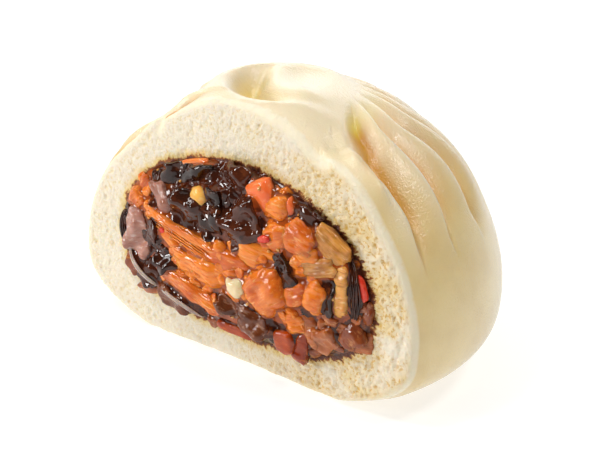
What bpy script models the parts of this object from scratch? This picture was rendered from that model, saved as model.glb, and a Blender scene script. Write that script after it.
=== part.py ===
"""A steamed pork bun, cut open: pleated white dough round a heap of braised filling.

Run with: blender --background --python part.py
Units are metres, +Z is up. The bun stands on its flat base at z = 0, its own axis is the Z axis,
and a flat cut that passes in front of that axis faces -Y and shows the filling.
"""

import math
import random

import bmesh
import bpy
from mathutils import Matrix, Vector, noise

MM = 0.001

# The whole bun, before it was cut.
BUN_RADIUS = 46.0 * MM
BUN_HEIGHT = 59.4 * MM  # where the dome would close if its top were not gathered in
BASE_RADIUS = 28.8 * MM  # the flat that it stands on
BELLY_HEIGHT = 16.6 * MM  # where the bun is widest
BASE_CURL = 3.06  # how tightly the side curls under to the base
DOME_POWER = 1.88  # 2 is an ellipse, less is more pointed

# The gathered top: a lip round a hollow, whose deepest place is pulled to the left.
LIP_RADIUS = 13.0 * MM
LIP_RISE = 1.0 * MM
LIP_WIDTH = 3.2 * MM
LIP_MIDDLE = Vector((-2.4, 0.2, 0)) * MM
LIP_AZIMUTH = math.radians(60)  # the opening is a little longer this way
LIP_LENGTHEN = 0.06
HOLLOW_DEPTH = 8.0 * MM
HOLLOW_FLOOR_RADIUS = 1.5 * MM
HOLLOW_PULL = Vector((-4.6, -0.6, 0)) * MM
LOBE_MIDDLE = Vector((6.0, 12.0, 0)) * MM  # the last pleat, tucked over into the hollow, which it
LOBE_RADIUS = 20.9 * MM  # nearly fills, so that only its left side stays deep
LOBE_TOP = 0.75  # the share of its radius inside which it is full
LOBE_FILL = 0.75
LOBE_SWELL = 0.8 * MM  # how plump it is just inside its edge
LOBE_MERGES = (-3.0 * MM, 9.0 * MM)  # how far right it starts and ends to merge into the dome
SLOPE_DEPTH = 4.6 * MM  # the shoulder behind the lip falls away on one side
SLOPE_RADIUS = 27.0 * MM
SLOPE_WIDTH = 7.5 * MM
SLOPE_AZIMUTH = math.radians(160)
SLOPE_SPREAD = math.radians(62)

# The pleats, numbered anticlockwise from the one that shows best.
PLEATS = 22
FIRST_CREASE = math.radians(-15.5)
PLEAT_DEPTH = 3.2 * MM
PLEAT_CREST = 0.88  # how far across a pleat its overlapping edge lies
PLEAT_LEVEL = 0.72  # the share of a pleat's depth that lies below the plain dome
PLEAT_FOOT = 32.0 * MM  # the height at which a crease begins
PLEAT_RUN = 15.0 * MM  # the height over which it reaches its depth
FOOT_VARIES = 2.5 * MM
DEPTH_VARIES = 0.18  # share by which the pleats' depths differ
LAST_FULL_PLEAT = 13
SIDE_PLEAT = 21  # the broad one between the first crease and the cut
SHOULDER_END = 26.0 * MM  # inside this the dough before the first crease is one smooth shoulder
SHOULDER_FADE = 6.0 * MM
SHOULDER_SINK = 1.6 * MM  # which lies a little lower than the plain dome
SHOULDER_MIDDLE = 25.0 * MM
SHOULDER_WIDTH = 5.0 * MM
SHOULDER_LEFT = math.radians(-64)
SHOULDER_RIGHT = math.radians(-20)
SWAY = math.radians(4.0)  # how far a crease bellies out on its way down
SWAY_INNER = 23.5 * MM
SWAY_OUTER = 39.5 * MM
FIRST_SWAY = math.radians(5.0)  # the first crease strays at its top and again at its foot
TONGUE_LIFT = 2.0 * MM  # the side pleat starts as a tongue that stands out of the shoulder
TONGUE_INNER = 23.2 * MM
TONGUE_FOOT = 38.0 * MM
TONGUE_LEFT = math.radians(-38.5)
TONGUE_RIGHT = math.radians(-18.0)
DENT_DEPTH = 1.2 * MM  # the short dent beside the tongue, at the cut
DENT_AZIMUTH = math.radians(-37.6)
DENT_TURN = math.radians(0.7) / MM  # how far round it runs for each mm that it runs down
DENT_WIDTH = math.radians(2.6)
DENT_INNER = 26.0 * MM
DENT_OUTER = 33.0 * MM
SWIRL_RADIUS = 22.0 * MM
SWIRL = math.radians(24)  # how far the creases have wound round by the lip
SHOULDER_RADIUS = 24.0 * MM  # inside this the top is drawn out of round
UNEVENNESS = 0.5 * MM

# The cut.
CUT_OFFSET = 15.06 * MM  # in front of the axis
CUT_RELIEF = 0.35 * MM

# The ball of filling, which fills its pocket in the dough.
FILLING_HEIGHT = 24.0 * MM  # its middle, above the base
FILLING_RADIUS = 35.6 * MM
FILLING_ABOVE = 22.9 * MM
FILLING_BELOW = 18.2 * MM
FLAT_BELOW = 2.9  # 2 is an ellipse, and more is flatter below with tighter corners
SLOPED_RIGHT = 1.75  # and less slopes away more, at the upper right
FILLING_BULGE = 4.2 * MM  # how far it stands out of the cut
TOUCHING_GAP = 0.35 * MM
FACE_CLEARANCE = 0.8 * MM
SIGHT_RIGHT = 0.73  # how far right and up a piece moves for each mm that it stands out of the cut,
SIGHT_UP = 0.54  # so that it is seen in its listed place from the front right and above

# The mesh: how its rows are shared out along the outline, and its density.
FLAT_END = 0.09
SIDE_END = 0.31
LIP_START = 0.72
BUN_ROWS = 33
PLEAT_COLUMNS = 6
FOLD_CROWDING = 1.6
BALL_SEGMENTS = 44
BALL_RINGS = 14

DOUGH_COLOUR = (0.86, 0.80, 0.66)
FILLING_COLOUR = (0.42, 0.16, 0.05)

# Every piece that shows in the filling: kind, how far right of the bun's axis, how high,
# length, width, turn in degrees, corners (0 is round), and how far it stands proud. Sizes in mm.
PIECES = [
    ("meat", -11.5, 18.5, 17.0, 6.5, -8, 4, 1.2),
    ("meat", -7.5, 23.0, 20.0, 5.5, -6, 4, 1.0),
    ("meat", 3.2, 25.8, 10.5, 7.0, -10, 4, 0.8),
    ("meat", 12.2, 32.2, 9.5, 8.0, -12, 5, 1.9),
    ("meat", 7.8, 31.2, 6.5, 6.0, 25, 5, 1.6),
    ("meat", 15.6, 30.0, 5.0, 3.4, 15, 0, 1.7),
    ("meat", 7.7, 37.3, 5.4, 5.0, 0, 0, 1.8),
    ("meat", 5.2, 18.4, 10.5, 10.0, 40, 5, 2.2),
    ("meat", 12.6, 20.2, 7.0, 5.0, 25, 5, 1.8),
    ("meat", 17.8, 21.4, 4.6, 7.0, -8, 4, 2.2),
    ("meat", 13.4, 14.6, 4.6, 5.4, 15, 5, 1.2),
    ("meat", -19.2, 23.0, 5.6, 4.0, -12, 0, 1.6),
    ("meat", -21.0, 27.8, 7.5, 2.8, 0, 4, 1.3),
    ("meat", -29.0, 29.2, 5.0, 5.0, 40, 5, 1.2),
    ("meat", -27.0, 33.0, 4.6, 3.0, 50, 0, 0.9),
    ("carrot", 3.8, 38.5, 6.6, 8.4, 25, 4, 1.6),
    ("carrot", 11.2, 38.2, 2.6, 4.8, 10, 3, 1.0),
    ("carrot", -13.6, 41.6, 9.0, 1.8, 17, 4, 0.8),
    ("kernel", -12.5, 33.1, 4.4, 6.2, -12, 0, 1.9),
    ("garlic", -2.0, 17.1, 4.8, 4.2, -12, 5, 1.9),
    ("ear", -15.0, 38.8, 14.0, 4.6, 12, 4, 0.9),
    ("ear", -13.2, 29.8, 13.0, 8.0, -12, 4, 1.6),
    ("ear", -8.3, 32.0, 5.0, 11.0, 6, 4, 1.5),
    ("ear", -22.2, 31.6, 6.6, 5.0, -25, 5, 1.5),
    ("ear", -3.2, 40.2, 10.0, 7.0, 12, 5, 1.0),
    ("ear", -0.6, 31.6, 10.0, 8.4, 38, 4, 1.5),
    ("ear", 14.6, 38.2, 6.4, 3.6, -8, 4, 1.0),
    ("ear", 18.2, 38.4, 3.2, 3.0, 0, 5, 0.8),
    ("ear", 10.8, 24.8, 4.0, 8.0, 38, 4, 1.1),
    ("ear", 21.4, 22.4, 3.6, 7.4, 5, 4, 0.8),
    ("ear", -20.4, 17.4, 5.6, 5.0, 30, 4, 1.4),
    ("ear", -24.2, 22.6, 3.4, 5.6, 10, 5, 1.5),
    ("ear", -28.6, 21.2, 7.0, 9.6, 12, 5, 1.5),
    ("ear", -25.2, 12.8, 5.0, 6.4, -20, 5, 1.4),
    ("ear", 0.4, 11.6, 14.0, 5.0, -10, 4, 2.2),
    ("ear", -18.0, 9.4, 10.4, 4.2, -8, 5, 1.8),
    ("skin", -29.6, 13.8, 5.0, 5.0, 20, 5, 1.2),
    ("skin", -25.4, 9.6, 6.4, 2.8, 8, 5, 1.3),
    ("skin", 21.0, 13.0, 6.0, 6.0, -35, 5, 1.5),
    ("skin", 27.4, 16.0, 5.6, 6.0, -30, 5, 1.6),
    ("skin", 31.0, 15.6, 4.0, 5.2, 0, 4, 0.8),
    ("skin", 17.8, 14.4, 4.0, 7.4, 20, 4, 0.9),
    ("skin", 22.4, 18.0, 3.8, 2.0, -15, 4, 1.0),
    ("skin", 31.2, 22.0, 3.0, 5.0, -12, 5, 0.8),
    ("cube", 11.2, 9.2, 5.6, 5.4, 10, 4, 2.2),
    ("cube", 15.4, 9.2, 3.6, 7.6, -8, 3, 1.8),
    ("cube", -1.5, 7.6, 10.0, 2.2, -2, 4, 1.4),
    ("slice", 21.2, 33.5, 9.6, 5.8, -28, 4, 2.0),
    ("slice", 18.2, 27.8, 9.4, 3.9, 17, 4, 1.4),
    ("slice", 24.5, 24.6, 3.2, 11.4, 3, 4, 1.3),
    ("strand", -16.6, 25.6, 21.0, 2.0, -12, 4, 2.0),
    ("strand", -14.2, 12.8, 18.0, 4.0, -17, 4, 1.7),
    ("strand", 27.6, 25.6, 3.0, 12.4, 10, 4, 1.2),
    ("strand", 27.6, 31.4, 2.0, 3.6, 25, 4, 0.8),
    ("chilli", 29.6, 27.0, 2.0, 5.6, 22, 4, 1.4),
    ("chilli", 5.2, 30.3, 3.0, 1.6, 20, 5, 1.9),
    ("chilli", -21.2, 24.2, 1.5, 1.3, 0, 5, 1.6),
]
# What each kind is like: its thickness beside its shorter side, its most thickness in mm,
# how square its edge is in section, and how uneven it is.
KINDS = {
    "meat": (0.75, 4.6, 2.6, 0.10),
    "carrot": (0.80, 4.2, 3.2, 0.05),
    "kernel": (0.80, 3.4, 2.2, 0.02),
    "garlic": (0.80, 3.6, 2.8, 0.08),
    "ear": (0.45, 2.2, 4.0, 0.12),
    "skin": (0.70, 3.2, 2.6, 0.10),
    "cube": (0.75, 4.0, 5.0, 0.05),
    "slice": (0.70, 3.0, 3.0, 0.05),
    "strand": (0.80, 2.4, 3.0, 0.06),
    "chilli": (0.70, 1.6, 3.0, 0.06),
}
LARGE_PIECE = 6.0  # mm: pieces at least this wide get more faces
CROWDING = 1.07  # the pieces run on a little under their neighbours


def clear_scene():
    """Removes the startup objects."""
    for obj in list(bpy.data.objects):
        bpy.data.objects.remove(obj)


def smoothstep(low, high, x):
    """0 below low, 1 above high, and smooth between them."""
    share = min(max((x - low) / (high - low), 0.0), 1.0)
    return share * share * (3 - 2 * share)


def dome_height(radius):
    """Height of the smooth dome at this distance from the axis."""
    across = min(radius / BUN_RADIUS, 1.0)
    rise = max(1 - across**DOME_POWER, 0.0) ** (1 / DOME_POWER)
    return BELLY_HEIGHT + (BUN_HEIGHT - BELLY_HEIGHT) * rise


def hollow_depth(radius):
    """Depth of the hollow in the bun's top, before the lobe is tucked into it."""
    return HOLLOW_DEPTH * smoothstep(LIP_RADIUS, HOLLOW_FLOOR_RADIUS, radius)


def lip_rise(radius):
    """How far the lip stands up round the hollow."""
    return LIP_RISE * math.exp(-(((radius - LIP_RADIUS) / LIP_WIDTH) ** 2))


def profile(share):
    """(radius, height) along the bun's outline, from the middle of its base to that of its top."""
    if share <= FLAT_END:
        return BASE_RADIUS * share / FLAT_END, 0.0
    if share <= SIDE_END:
        along = (share - FLAT_END) / (SIDE_END - FLAT_END)
        height = BELLY_HEIGHT * (1 - math.cos(along * math.pi / 2))
        under = (BELLY_HEIGHT - height) / BELLY_HEIGHT
        return BUN_RADIUS - (BUN_RADIUS - BASE_RADIUS) * under**BASE_CURL, height
    if share <= LIP_START:
        lip_angle = math.acos((LIP_RADIUS / BUN_RADIUS) ** (DOME_POWER / 2))
        angle = lip_angle * (share - SIDE_END) / (LIP_START - SIDE_END)
        radius = BUN_RADIUS * math.cos(angle) ** (2 / DOME_POWER)
    else:
        radius = LIP_RADIUS * (1 - share) / (1 - LIP_START)
    return radius, dome_height(radius) + lip_rise(radius) - hollow_depth(radius)


def pleat_section(across):
    """Height of a pleat across its width: it swells to an edge that overlaps the next crease."""
    if across < PLEAT_CREST:
        return math.sin(math.pi / 2 * across / PLEAT_CREST)
    return math.cos(math.pi / 2 * (across - PLEAT_CREST) / (1 - PLEAT_CREST)) ** 2


def swayed(number, radius):
    """How far round the axis a crease strays as it runs down the shoulder."""
    if number == 0:
        return FIRST_SWAY * (smoothstep(27 * MM, 22 * MM, radius) + 0.6 * smoothstep(31 * MM, 37 * MM, radius))
    if number > LAST_FULL_PLEAT:
        return 0.0
    along = min(max((radius - SWAY_INNER) / (SWAY_OUTER - SWAY_INNER), 0), 1)
    return SWAY * math.sin(math.pi * along) * (0.6 if number == 1 else 1.0)


def tongue_lift(azimuth, radius):
    """How far the side pleat's tongue lifts the dough, or its shoulder and the dent beside it sink it."""
    turn = (azimuth + math.pi) % (2 * math.pi) - math.pi
    start = TONGUE_INNER + 3.5 * MM * smoothstep(-25, -17, math.degrees(turn))
    along = smoothstep(start - 0.9 * MM, start + 1.9 * MM, radius)
    along *= smoothstep(TONGUE_FOOT, 0.75 * TONGUE_FOOT, radius)
    wide = smoothstep(TONGUE_LEFT, TONGUE_LEFT + math.radians(4.5), turn)
    wide *= smoothstep(TONGUE_RIGHT, TONGUE_RIGHT - math.radians(3), turn)
    middle = DENT_AZIMUTH + DENT_TURN * (radius - 25.5 * MM)
    dent = math.exp(-(((turn - middle) / DENT_WIDTH) ** 2))
    dent *= smoothstep(DENT_INNER, DENT_INNER + 2 * MM, radius)
    dent *= smoothstep(DENT_OUTER, DENT_OUTER - 3 * MM, radius)
    shoulder = math.exp(-(((radius - SHOULDER_MIDDLE) / SHOULDER_WIDTH) ** 2))
    shoulder *= smoothstep(SHOULDER_LEFT, SHOULDER_LEFT + 0.35, turn)
    shoulder *= smoothstep(SHOULDER_RIGHT, SHOULDER_RIGHT - 0.2, turn)
    return TONGUE_LIFT * along * wide - DENT_DEPTH * dent - SHOULDER_SINK * shoulder


def pleat_lift(number, across, azimuth, radius, height):
    """How far the pleats lift or sink the dome at a place: they fade down the side and over the lip."""
    fold, sink = 1.0, 0.0
    if number == SIDE_PLEAT:
        below = smoothstep(SHOULDER_END, SHOULDER_END + SHOULDER_FADE, radius)
        fold = below * smoothstep(0.0, 0.7, across)
        sink = -PLEAT_LEVEL * smoothstep(0.35, 1.0, across) * (1 - below)
    elif number > LAST_FULL_PLEAT:
        fold = 0.0
    sink += tongue_lift(azimuth, radius) / PLEAT_DEPTH
    foot = PLEAT_FOOT + FOOT_VARIES * math.sin(1.7 * number)
    depth = PLEAT_DEPTH * (1 - DEPTH_VARIES * math.sin(2.4 * number))
    depth *= smoothstep(foot, foot + PLEAT_RUN, height)
    depth *= smoothstep(LIP_RADIUS + 1.0 * MM, LIP_RADIUS + (7 + 0.7 * min(number % 21, 4)) * MM, radius)
    return depth * ((pleat_section(across) - PLEAT_LEVEL) * fold + sink)


def sloping(radius, azimuth):
    """How far a place lies on the side where the shoulder falls away."""
    turn = abs((azimuth - SLOPE_AZIMUTH + math.pi) % (2 * math.pi) - math.pi)
    ring = math.exp(-(((radius - SLOPE_RADIUS) / SLOPE_WIDTH) ** 2))
    return ring * smoothstep(SLOPE_SPREAD, 0.35 * SLOPE_SPREAD, turn)


def bun_point(share, number, across):
    """A point of the outer surface: share runs up the outline, across runs over one numbered pleat."""
    radius, height = profile(share)
    azimuth = FIRST_CREASE + (number + across) * 2 * math.pi / PLEATS
    azimuth += swayed(number, radius) * (1 - across) + swayed((number + 1) % PLEATS, radius) * across
    if share > SIDE_END and radius < SWIRL_RADIUS:
        azimuth += SWIRL * ((SWIRL_RADIUS - radius) / (SWIRL_RADIUS - LIP_RADIUS)) ** 1.5
    step = 0.004
    before, after = profile(max(share - step, 0)), profile(min(share + step, 1))
    outward = Vector((after[1] - before[1], before[0] - after[0])).normalized()
    lift = 0.0
    if share > SIDE_END:
        lift = pleat_lift(number, across, azimuth, radius, height) - SLOPE_DEPTH * sloping(radius, azimuth)
    reach = radius + outward.x * lift
    point = Vector((reach * math.cos(azimuth), reach * math.sin(azimuth), height + outward.y * lift))
    return drawn_out(point, share, radius)


def drawn_out(point, share, radius):
    """The gathered top drawn to its place, its tucked lobe, and the slight unevenness of shaped dough."""
    if share > SIDE_END:
        pull = smoothstep(SHOULDER_RADIUS, LIP_RADIUS, radius)
        along = Vector((math.cos(LIP_AZIMUTH), math.sin(LIP_AZIMUTH), 0))
        point = point + pull * (LIP_MIDDLE + along * LIP_LENGTHEN * point.dot(along))
        point = point + HOLLOW_PULL * smoothstep(LIP_RADIUS, 0, radius)
        apart = math.hypot(point.x - LOBE_MIDDLE.x, point.y - LOBE_MIDDLE.y)
        lobe = smoothstep(LOBE_RADIUS, LOBE_TOP * LOBE_RADIUS, apart)
        merged = smoothstep(*LOBE_MERGES, point.x)
        point.z += lobe * hollow_depth(radius) * (LOBE_FILL + (1 - LOBE_FILL) * merged)
        point.z -= lobe * merged * lip_rise(radius)
        ring = math.exp(-(((apart - 0.93 * LOBE_TOP * LOBE_RADIUS) / (2.4 * MM)) ** 2))
        point.z += LOBE_SWELL * ring * smoothstep(LIP_RADIUS, 0.6 * LIP_RADIUS, radius)
    uneven = UNEVENNESS * noise.noise(point * 35) * smoothstep(0, 6 * MM, point.z)
    return point + Vector((point.x, point.y, 0)).normalized() * uneven


def mesh_object(name, mesh, collection):
    """A named object for a bmesh, which it frees."""
    data = bpy.data.meshes.new(name)
    bmesh.ops.recalc_face_normals(mesh, faces=mesh.faces)
    mesh.to_mesh(data)
    mesh.free()
    obj = bpy.data.objects.new(name, data)
    collection.objects.link(obj)
    return obj


def bun(collection):
    """The whole bun as a sphere whose meridians run along the pleats, closer set at each fold."""
    columns = PLEATS * PLEAT_COLUMNS
    mesh = bmesh.new()
    bmesh.ops.create_uvsphere(mesh, u_segments=columns, v_segments=BUN_ROWS, radius=1)
    for vert in mesh.verts:
        column = round(math.atan2(vert.co.y, vert.co.x) / (2 * math.pi) * columns) % columns
        number, step = divmod(column, PLEAT_COLUMNS)
        share = math.acos(max(-1, min(1, -vert.co.z))) / math.pi
        vert.co = bun_point(share, number, 1 - (1 - step / PLEAT_COLUMNS) ** FOLD_CROWDING)
    return mesh_object("bun_dough", mesh, collection)


def knife(collection):
    """Everything in front of the cut, whose face carries the crumb's unevenness."""
    mesh = bmesh.new()
    bmesh.ops.create_grid(mesh, x_segments=26, y_segments=18, size=1)
    for vert in mesh.verts:
        across, up = vert.co.x * 1.3 * BUN_RADIUS, (vert.co.y * 0.7 + 0.5) * BUN_HEIGHT
        relief = CUT_RELIEF * noise.noise(Vector((across, 0, up)) * 160)
        vert.co = (across, relief - CUT_OFFSET, up)
    front = bmesh.ops.extrude_face_region(mesh, geom=mesh.faces[:])["geom"]
    moved = [item for item in front if isinstance(item, bmesh.types.BMVert)]
    bmesh.ops.translate(mesh, verts=moved, vec=(0, -BUN_RADIUS, 0))
    return helper(mesh_object("knife", mesh, collection))


def helper(obj):
    """Marks a cutter, which isn't part of the bun."""
    obj.hide_render = True
    obj.display_type = "WIRE"
    return obj


def filling_reach(angle):
    """Distance from the middle of the ball to its side at this angle, seen from the front."""
    right, above = math.cos(angle) > 0, math.sin(angle) > 0
    power = FLAT_BELOW if not above else SLOPED_RIGHT if right else 2.0
    tall = FILLING_ABOVE if above else FILLING_BELOW
    across = abs(math.cos(angle)) / FILLING_RADIUS
    up = abs(math.sin(angle)) / tall
    return (across**power + up**power) ** (-1 / power)


def filling_ball(name, collection, grow):
    """The ball of filling, grown by a gap. The core is pressed flat where it stands out of the cut."""
    mesh = bmesh.new()
    bmesh.ops.create_uvsphere(mesh, u_segments=BALL_SEGMENTS, v_segments=BALL_RINGS, radius=1)
    for vert in mesh.verts:
        level = math.hypot(vert.co.x, vert.co.y)
        angle = math.atan2(vert.co.y, vert.co.x)
        reach = (filling_reach(angle) + grow) * level
        depth = -vert.co.z * (FILLING_RADIUS + grow)
        if not grow and depth < -CUT_OFFSET:
            depth = -CUT_OFFSET + (depth + CUT_OFFSET) * bulge_share()
        height = FILLING_HEIGHT + reach * math.sin(angle)
        vert.co = (reach * math.cos(angle), depth, height)
    return mesh_object(name, mesh, collection)


def bulge_share():
    """How much of the ball in front of the cut is left standing out of it."""
    return FILLING_BULGE / (FILLING_RADIUS - CUT_OFFSET)


def filling_front(across, up):
    """Depth of the filling's front, or of the crumb beyond its edge, at a place in the cut."""
    reach = filling_reach(math.atan2(up - FILLING_HEIGHT, across))
    level = math.hypot(across, up - FILLING_HEIGHT) / reach
    depth = FILLING_RADIUS * math.sqrt(max(1 - level * level, 0))
    return -CUT_OFFSET - max(depth - CUT_OFFSET, 0) * bulge_share()


def placed(seen, proud):
    """Where the middle of a piece lies in the cut, and the depth of its front, from where it is seen."""
    middle = seen
    for _ in range(3):
        front = filling_front(middle.x, middle.y) - proud
        out = -CUT_OFFSET - front
        middle = seen + Vector((SIGHT_RIGHT, SIGHT_UP)) * out
    return middle, front


def piece_reach(angle, corners):
    """Outline of a piece of unit size: a circle, or a polygon with rounded corners."""
    if not corners:
        return 1.0
    sector = 2 * math.pi / corners
    inner = math.cos(sector / 2) / math.cos((angle % sector) - sector / 2)
    return 0.35 + 0.65 * inner / math.cos(sector / 2) ** 0.5


def piece(row, number, collection):
    """One piece of the filling, flattened against the heap's front and cut off behind the face."""
    kind, across, up, length, width, turn, corners, proud = row
    thick_share, most_thick, squareness, rough = KINDS[kind]
    shorter = min(length, width)
    thickness = min(thick_share * shorter, most_thick) * MM
    rng = random.Random(number)
    phases = [rng.uniform(0, 2 * math.pi) for _ in range(3)]
    large = shorter >= LARGE_PIECE
    mesh = bmesh.new()
    bmesh.ops.create_uvsphere(mesh, u_segments=12 if large else 8, v_segments=8 if large else 6, radius=1)
    middle, front = placed(Vector((across, up)) * MM, proud * MM)
    turned = Matrix.Rotation(math.radians(turn), 2)
    for vert in mesh.verts:
        angle = math.atan2(vert.co.y, vert.co.x)
        level = math.hypot(vert.co.x, vert.co.y)
        reach = piece_reach(angle + math.pi / 4, corners)
        reach *= 1 + rough * sum(math.sin((n + 2) * angle + p) for n, p in enumerate(phases)) / 2
        crown = max(1 - level**squareness, 0) ** (1 / squareness)
        flat = Vector((math.cos(angle) * length, math.sin(angle) * width)) * CROWDING * MM / 2
        flat = turned @ flat * reach * level
        side = 1 if vert.co.z > 0 else -1
        depth = front + thickness / 2 - side * crown * thickness / 2
        vert.co = (middle.x + flat.x, depth, middle.y + flat.y)
    cut_behind(mesh, -CUT_OFFSET - FACE_CLEARANCE)
    return mesh_object(f"piece_{number:02d}", mesh, collection)


def cut_behind(mesh, depth):
    """Cuts a closed mesh off flat behind this depth."""
    everything = mesh.verts[:] + mesh.edges[:] + mesh.faces[:]
    bmesh.ops.bisect_plane(
        mesh, geom=everything, plane_co=(0, depth, 0), plane_no=(0, 1, 0), clear_outer=True
    )
    bmesh.ops.holes_fill(mesh, edges=[edge for edge in mesh.edges if edge.is_boundary])
    bmesh.ops.triangulate(mesh, faces=[face for face in mesh.faces if len(face.verts) > 4])


def boolean(obj, operation, solver="EXACT", **operand):
    """Applies one Boolean to obj."""
    modifier = obj.modifiers.new(operation.title(), "BOOLEAN")
    modifier.operation = operation
    modifier.solver = solver
    for key, value in operand.items():
        setattr(modifier, key, value)
    graph = bpy.context.evaluated_depsgraph_get()
    made = bpy.data.meshes.new_from_object(obj.evaluated_get(graph))
    obj.modifiers.clear()
    obj.data = made


def joined_bodies(mesh):
    """The sets of vertices that hang together."""
    left, bodies = set(mesh.verts), []
    while left:
        body, waiting = set(), [left.pop()]
        while waiting:
            vert = waiting.pop()
            body.add(vert)
            waiting.extend({edge.other_vert(vert) for edge in vert.link_edges} - body)
        left -= body
        bodies.append(body)
    return bodies


def tidy_mesh(obj):
    """Triangles with doubles merged, and only the largest joined body kept."""
    mesh = bmesh.new()
    mesh.from_mesh(obj.data)
    bmesh.ops.remove_doubles(mesh, verts=mesh.verts, dist=0.002 * MM)
    largest = max(joined_bodies(mesh), key=len)
    bmesh.ops.delete(mesh, geom=[vert for vert in mesh.verts if vert not in largest], context="VERTS")
    bmesh.ops.triangulate(mesh, faces=mesh.faces)
    mesh.to_mesh(obj.data)
    mesh.free()


def finish(obj, name, colour, roughness):
    """Gives a solid its plain material and smooth shading."""
    material = bpy.data.materials.new(name)
    material.use_nodes = True
    shader = material.node_tree.nodes["Principled BSDF"]
    shader.inputs["Base Color"].default_value = (*colour, 1)
    shader.inputs["Roughness"].default_value = roughness
    shader.inputs["Metallic"].default_value = 0.0
    obj.data.materials.clear()
    obj.data.materials.append(material)
    obj.data.shade_smooth()
    obj.data.set_sharp_from_angle(angle=math.radians(40))


def new_collection(name):
    collection = bpy.data.collections.new(name)
    bpy.context.scene.collection.children.link(collection)
    return collection


def main():
    clear_scene()
    parts = new_collection("pork_bun")
    cutters = new_collection("cutters")
    scraps = new_collection("filling_pieces")

    dough = bun(parts)
    front = knife(cutters)
    pocket = helper(filling_ball("pocket", cutters, TOUCHING_GAP))
    boolean(dough, "DIFFERENCE", object=front)
    boolean(dough, "DIFFERENCE", object=pocket)
    tidy_mesh(dough)
    finish(dough, "steamed wheat dough", DOUGH_COLOUR, 0.55)

    filling = filling_ball("filling", parts, 0)
    for number, row in enumerate(PIECES):
        piece(row, number, scraps)
    boolean(filling, "UNION", operand_type="COLLECTION", collection=scraps)
    for obj in list(scraps.objects):
        bpy.data.objects.remove(obj)
    bpy.data.collections.remove(scraps)
    tidy_mesh(filling)
    finish(filling, "braised filling", FILLING_COLOUR, 0.3)


main()
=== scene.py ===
"""Looks of a steamed pork bun that is cut open: pleated dough, torn crumb and wet braised filling.

Units are metres, +Z is up. The bun stands on its flat base at z = 0, its axis is the Z axis, and the cut
faces -Y. The filling's pieces lie on the cut, so their places are given as right and up in it, in mm.
"""

import math
import random
from collections import namedtuple

import bmesh
import bpy
import numpy as np
from bpy.props import FloatProperty, FloatVectorProperty, IntProperty, PointerProperty
from mathutils import Matrix, Vector, noise
from mathutils.bvhtree import BVHTree
from mathutils.kdtree import KDTree


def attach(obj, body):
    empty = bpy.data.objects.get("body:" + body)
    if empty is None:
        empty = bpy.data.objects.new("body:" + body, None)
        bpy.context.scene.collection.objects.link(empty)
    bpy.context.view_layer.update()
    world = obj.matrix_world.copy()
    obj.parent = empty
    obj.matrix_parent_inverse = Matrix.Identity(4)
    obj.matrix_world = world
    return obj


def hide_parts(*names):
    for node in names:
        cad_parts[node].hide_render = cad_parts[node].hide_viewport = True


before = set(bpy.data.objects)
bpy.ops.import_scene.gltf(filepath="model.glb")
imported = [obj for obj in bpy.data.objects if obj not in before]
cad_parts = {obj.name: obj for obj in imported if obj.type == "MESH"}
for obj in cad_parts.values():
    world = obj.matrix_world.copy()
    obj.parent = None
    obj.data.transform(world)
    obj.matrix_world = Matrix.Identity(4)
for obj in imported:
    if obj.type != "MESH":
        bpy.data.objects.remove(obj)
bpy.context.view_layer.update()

bl_info = {
    "name": "Steamed Pork Bun",
    "version": (1, 0, 0),
    "blender": (4, 5, 0),
    "location": "3D View > Sidebar > Pork Bun",
    "description": "Makes the looks of a cut steamed pork bun round its solid parts",
    "category": "Object",
}

MM = 0.001
TINY = 1e-9  # keeps a division off zero
FAR = 99 * MM  # stands for a distance past all that is marked
VIEWPOINT = -60 * MM  # rays start here, in front of the whole bun

# The bun's outline.
BASE_CURL = 3.06  # how tightly the side curls under to the base
DOME_POWER = 1.88  # 2 is an ellipse, less is more pointed
LIP_RISE = 1.0 * MM
LIP_WIDTH = 3.2 * MM
LIP_MIDDLE = np.array((-2.4, 0.2, 0)) * MM
LIP_AZIMUTH = math.radians(60)  # the opening is a little longer this way
LIP_LENGTHEN = 0.06
HOLLOW_FLOOR_RADIUS = 1.5 * MM
HOLLOW_PULL = np.array((-4.6, -0.6, 0)) * MM
HOLLOW_WALL = (0.85, 0.3)  # the shares of the lip's radius between which its wall gets painted golden shade
HOLLOW_SHADE = 0.55
LOBE_MIDDLE = np.array((6.0, 12.0, 0)) * MM  # the last pleat, tucked over into the hollow
LOBE_RADIUS = 20.9 * MM
LOBE_TOP = 0.75  # the share of its radius inside which it is full
LOBE_FILL = 0.75
LOBE_SWELL = 0.8 * MM  # how plump it is just inside its edge
LOBE_RIDGE = 0.93  # the share of its full part's radius at which it is plumpest
LOBE_RIDGE_WIDTH = 2.4 * MM
LOBE_RIDGE_INSIDE = 0.6  # the share of the lip's radius inside which that shows in full
LOBE_MERGES = (-3.0 * MM, 9.0 * MM)  # how far right it starts and ends to merge into the dome
SLOPE_DEPTH = 4.6 * MM  # the shoulder behind the lip falls away on one side
SLOPE_RADIUS = 27.0 * MM
SLOPE_WIDTH = 7.5 * MM
SLOPE_AZIMUTH = math.radians(160)
SLOPE_SPREAD = math.radians(62)
SLOPE_FULL = 0.35  # the share of that spread over which it falls the whole way
SWIRL_RADIUS = 22.0 * MM
SWIRL = math.radians(24)  # how far the creases have wound round by the lip
SHOULDER_RADIUS = 24.0 * MM  # inside this the top is drawn out of round
UNEVENNESS = 0.5 * MM
UNEVEN_SIZE = 1 / 35  # metres
UNEVEN_FROM = 6.0 * MM  # it grows up to this height, so the base stays flat

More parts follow.
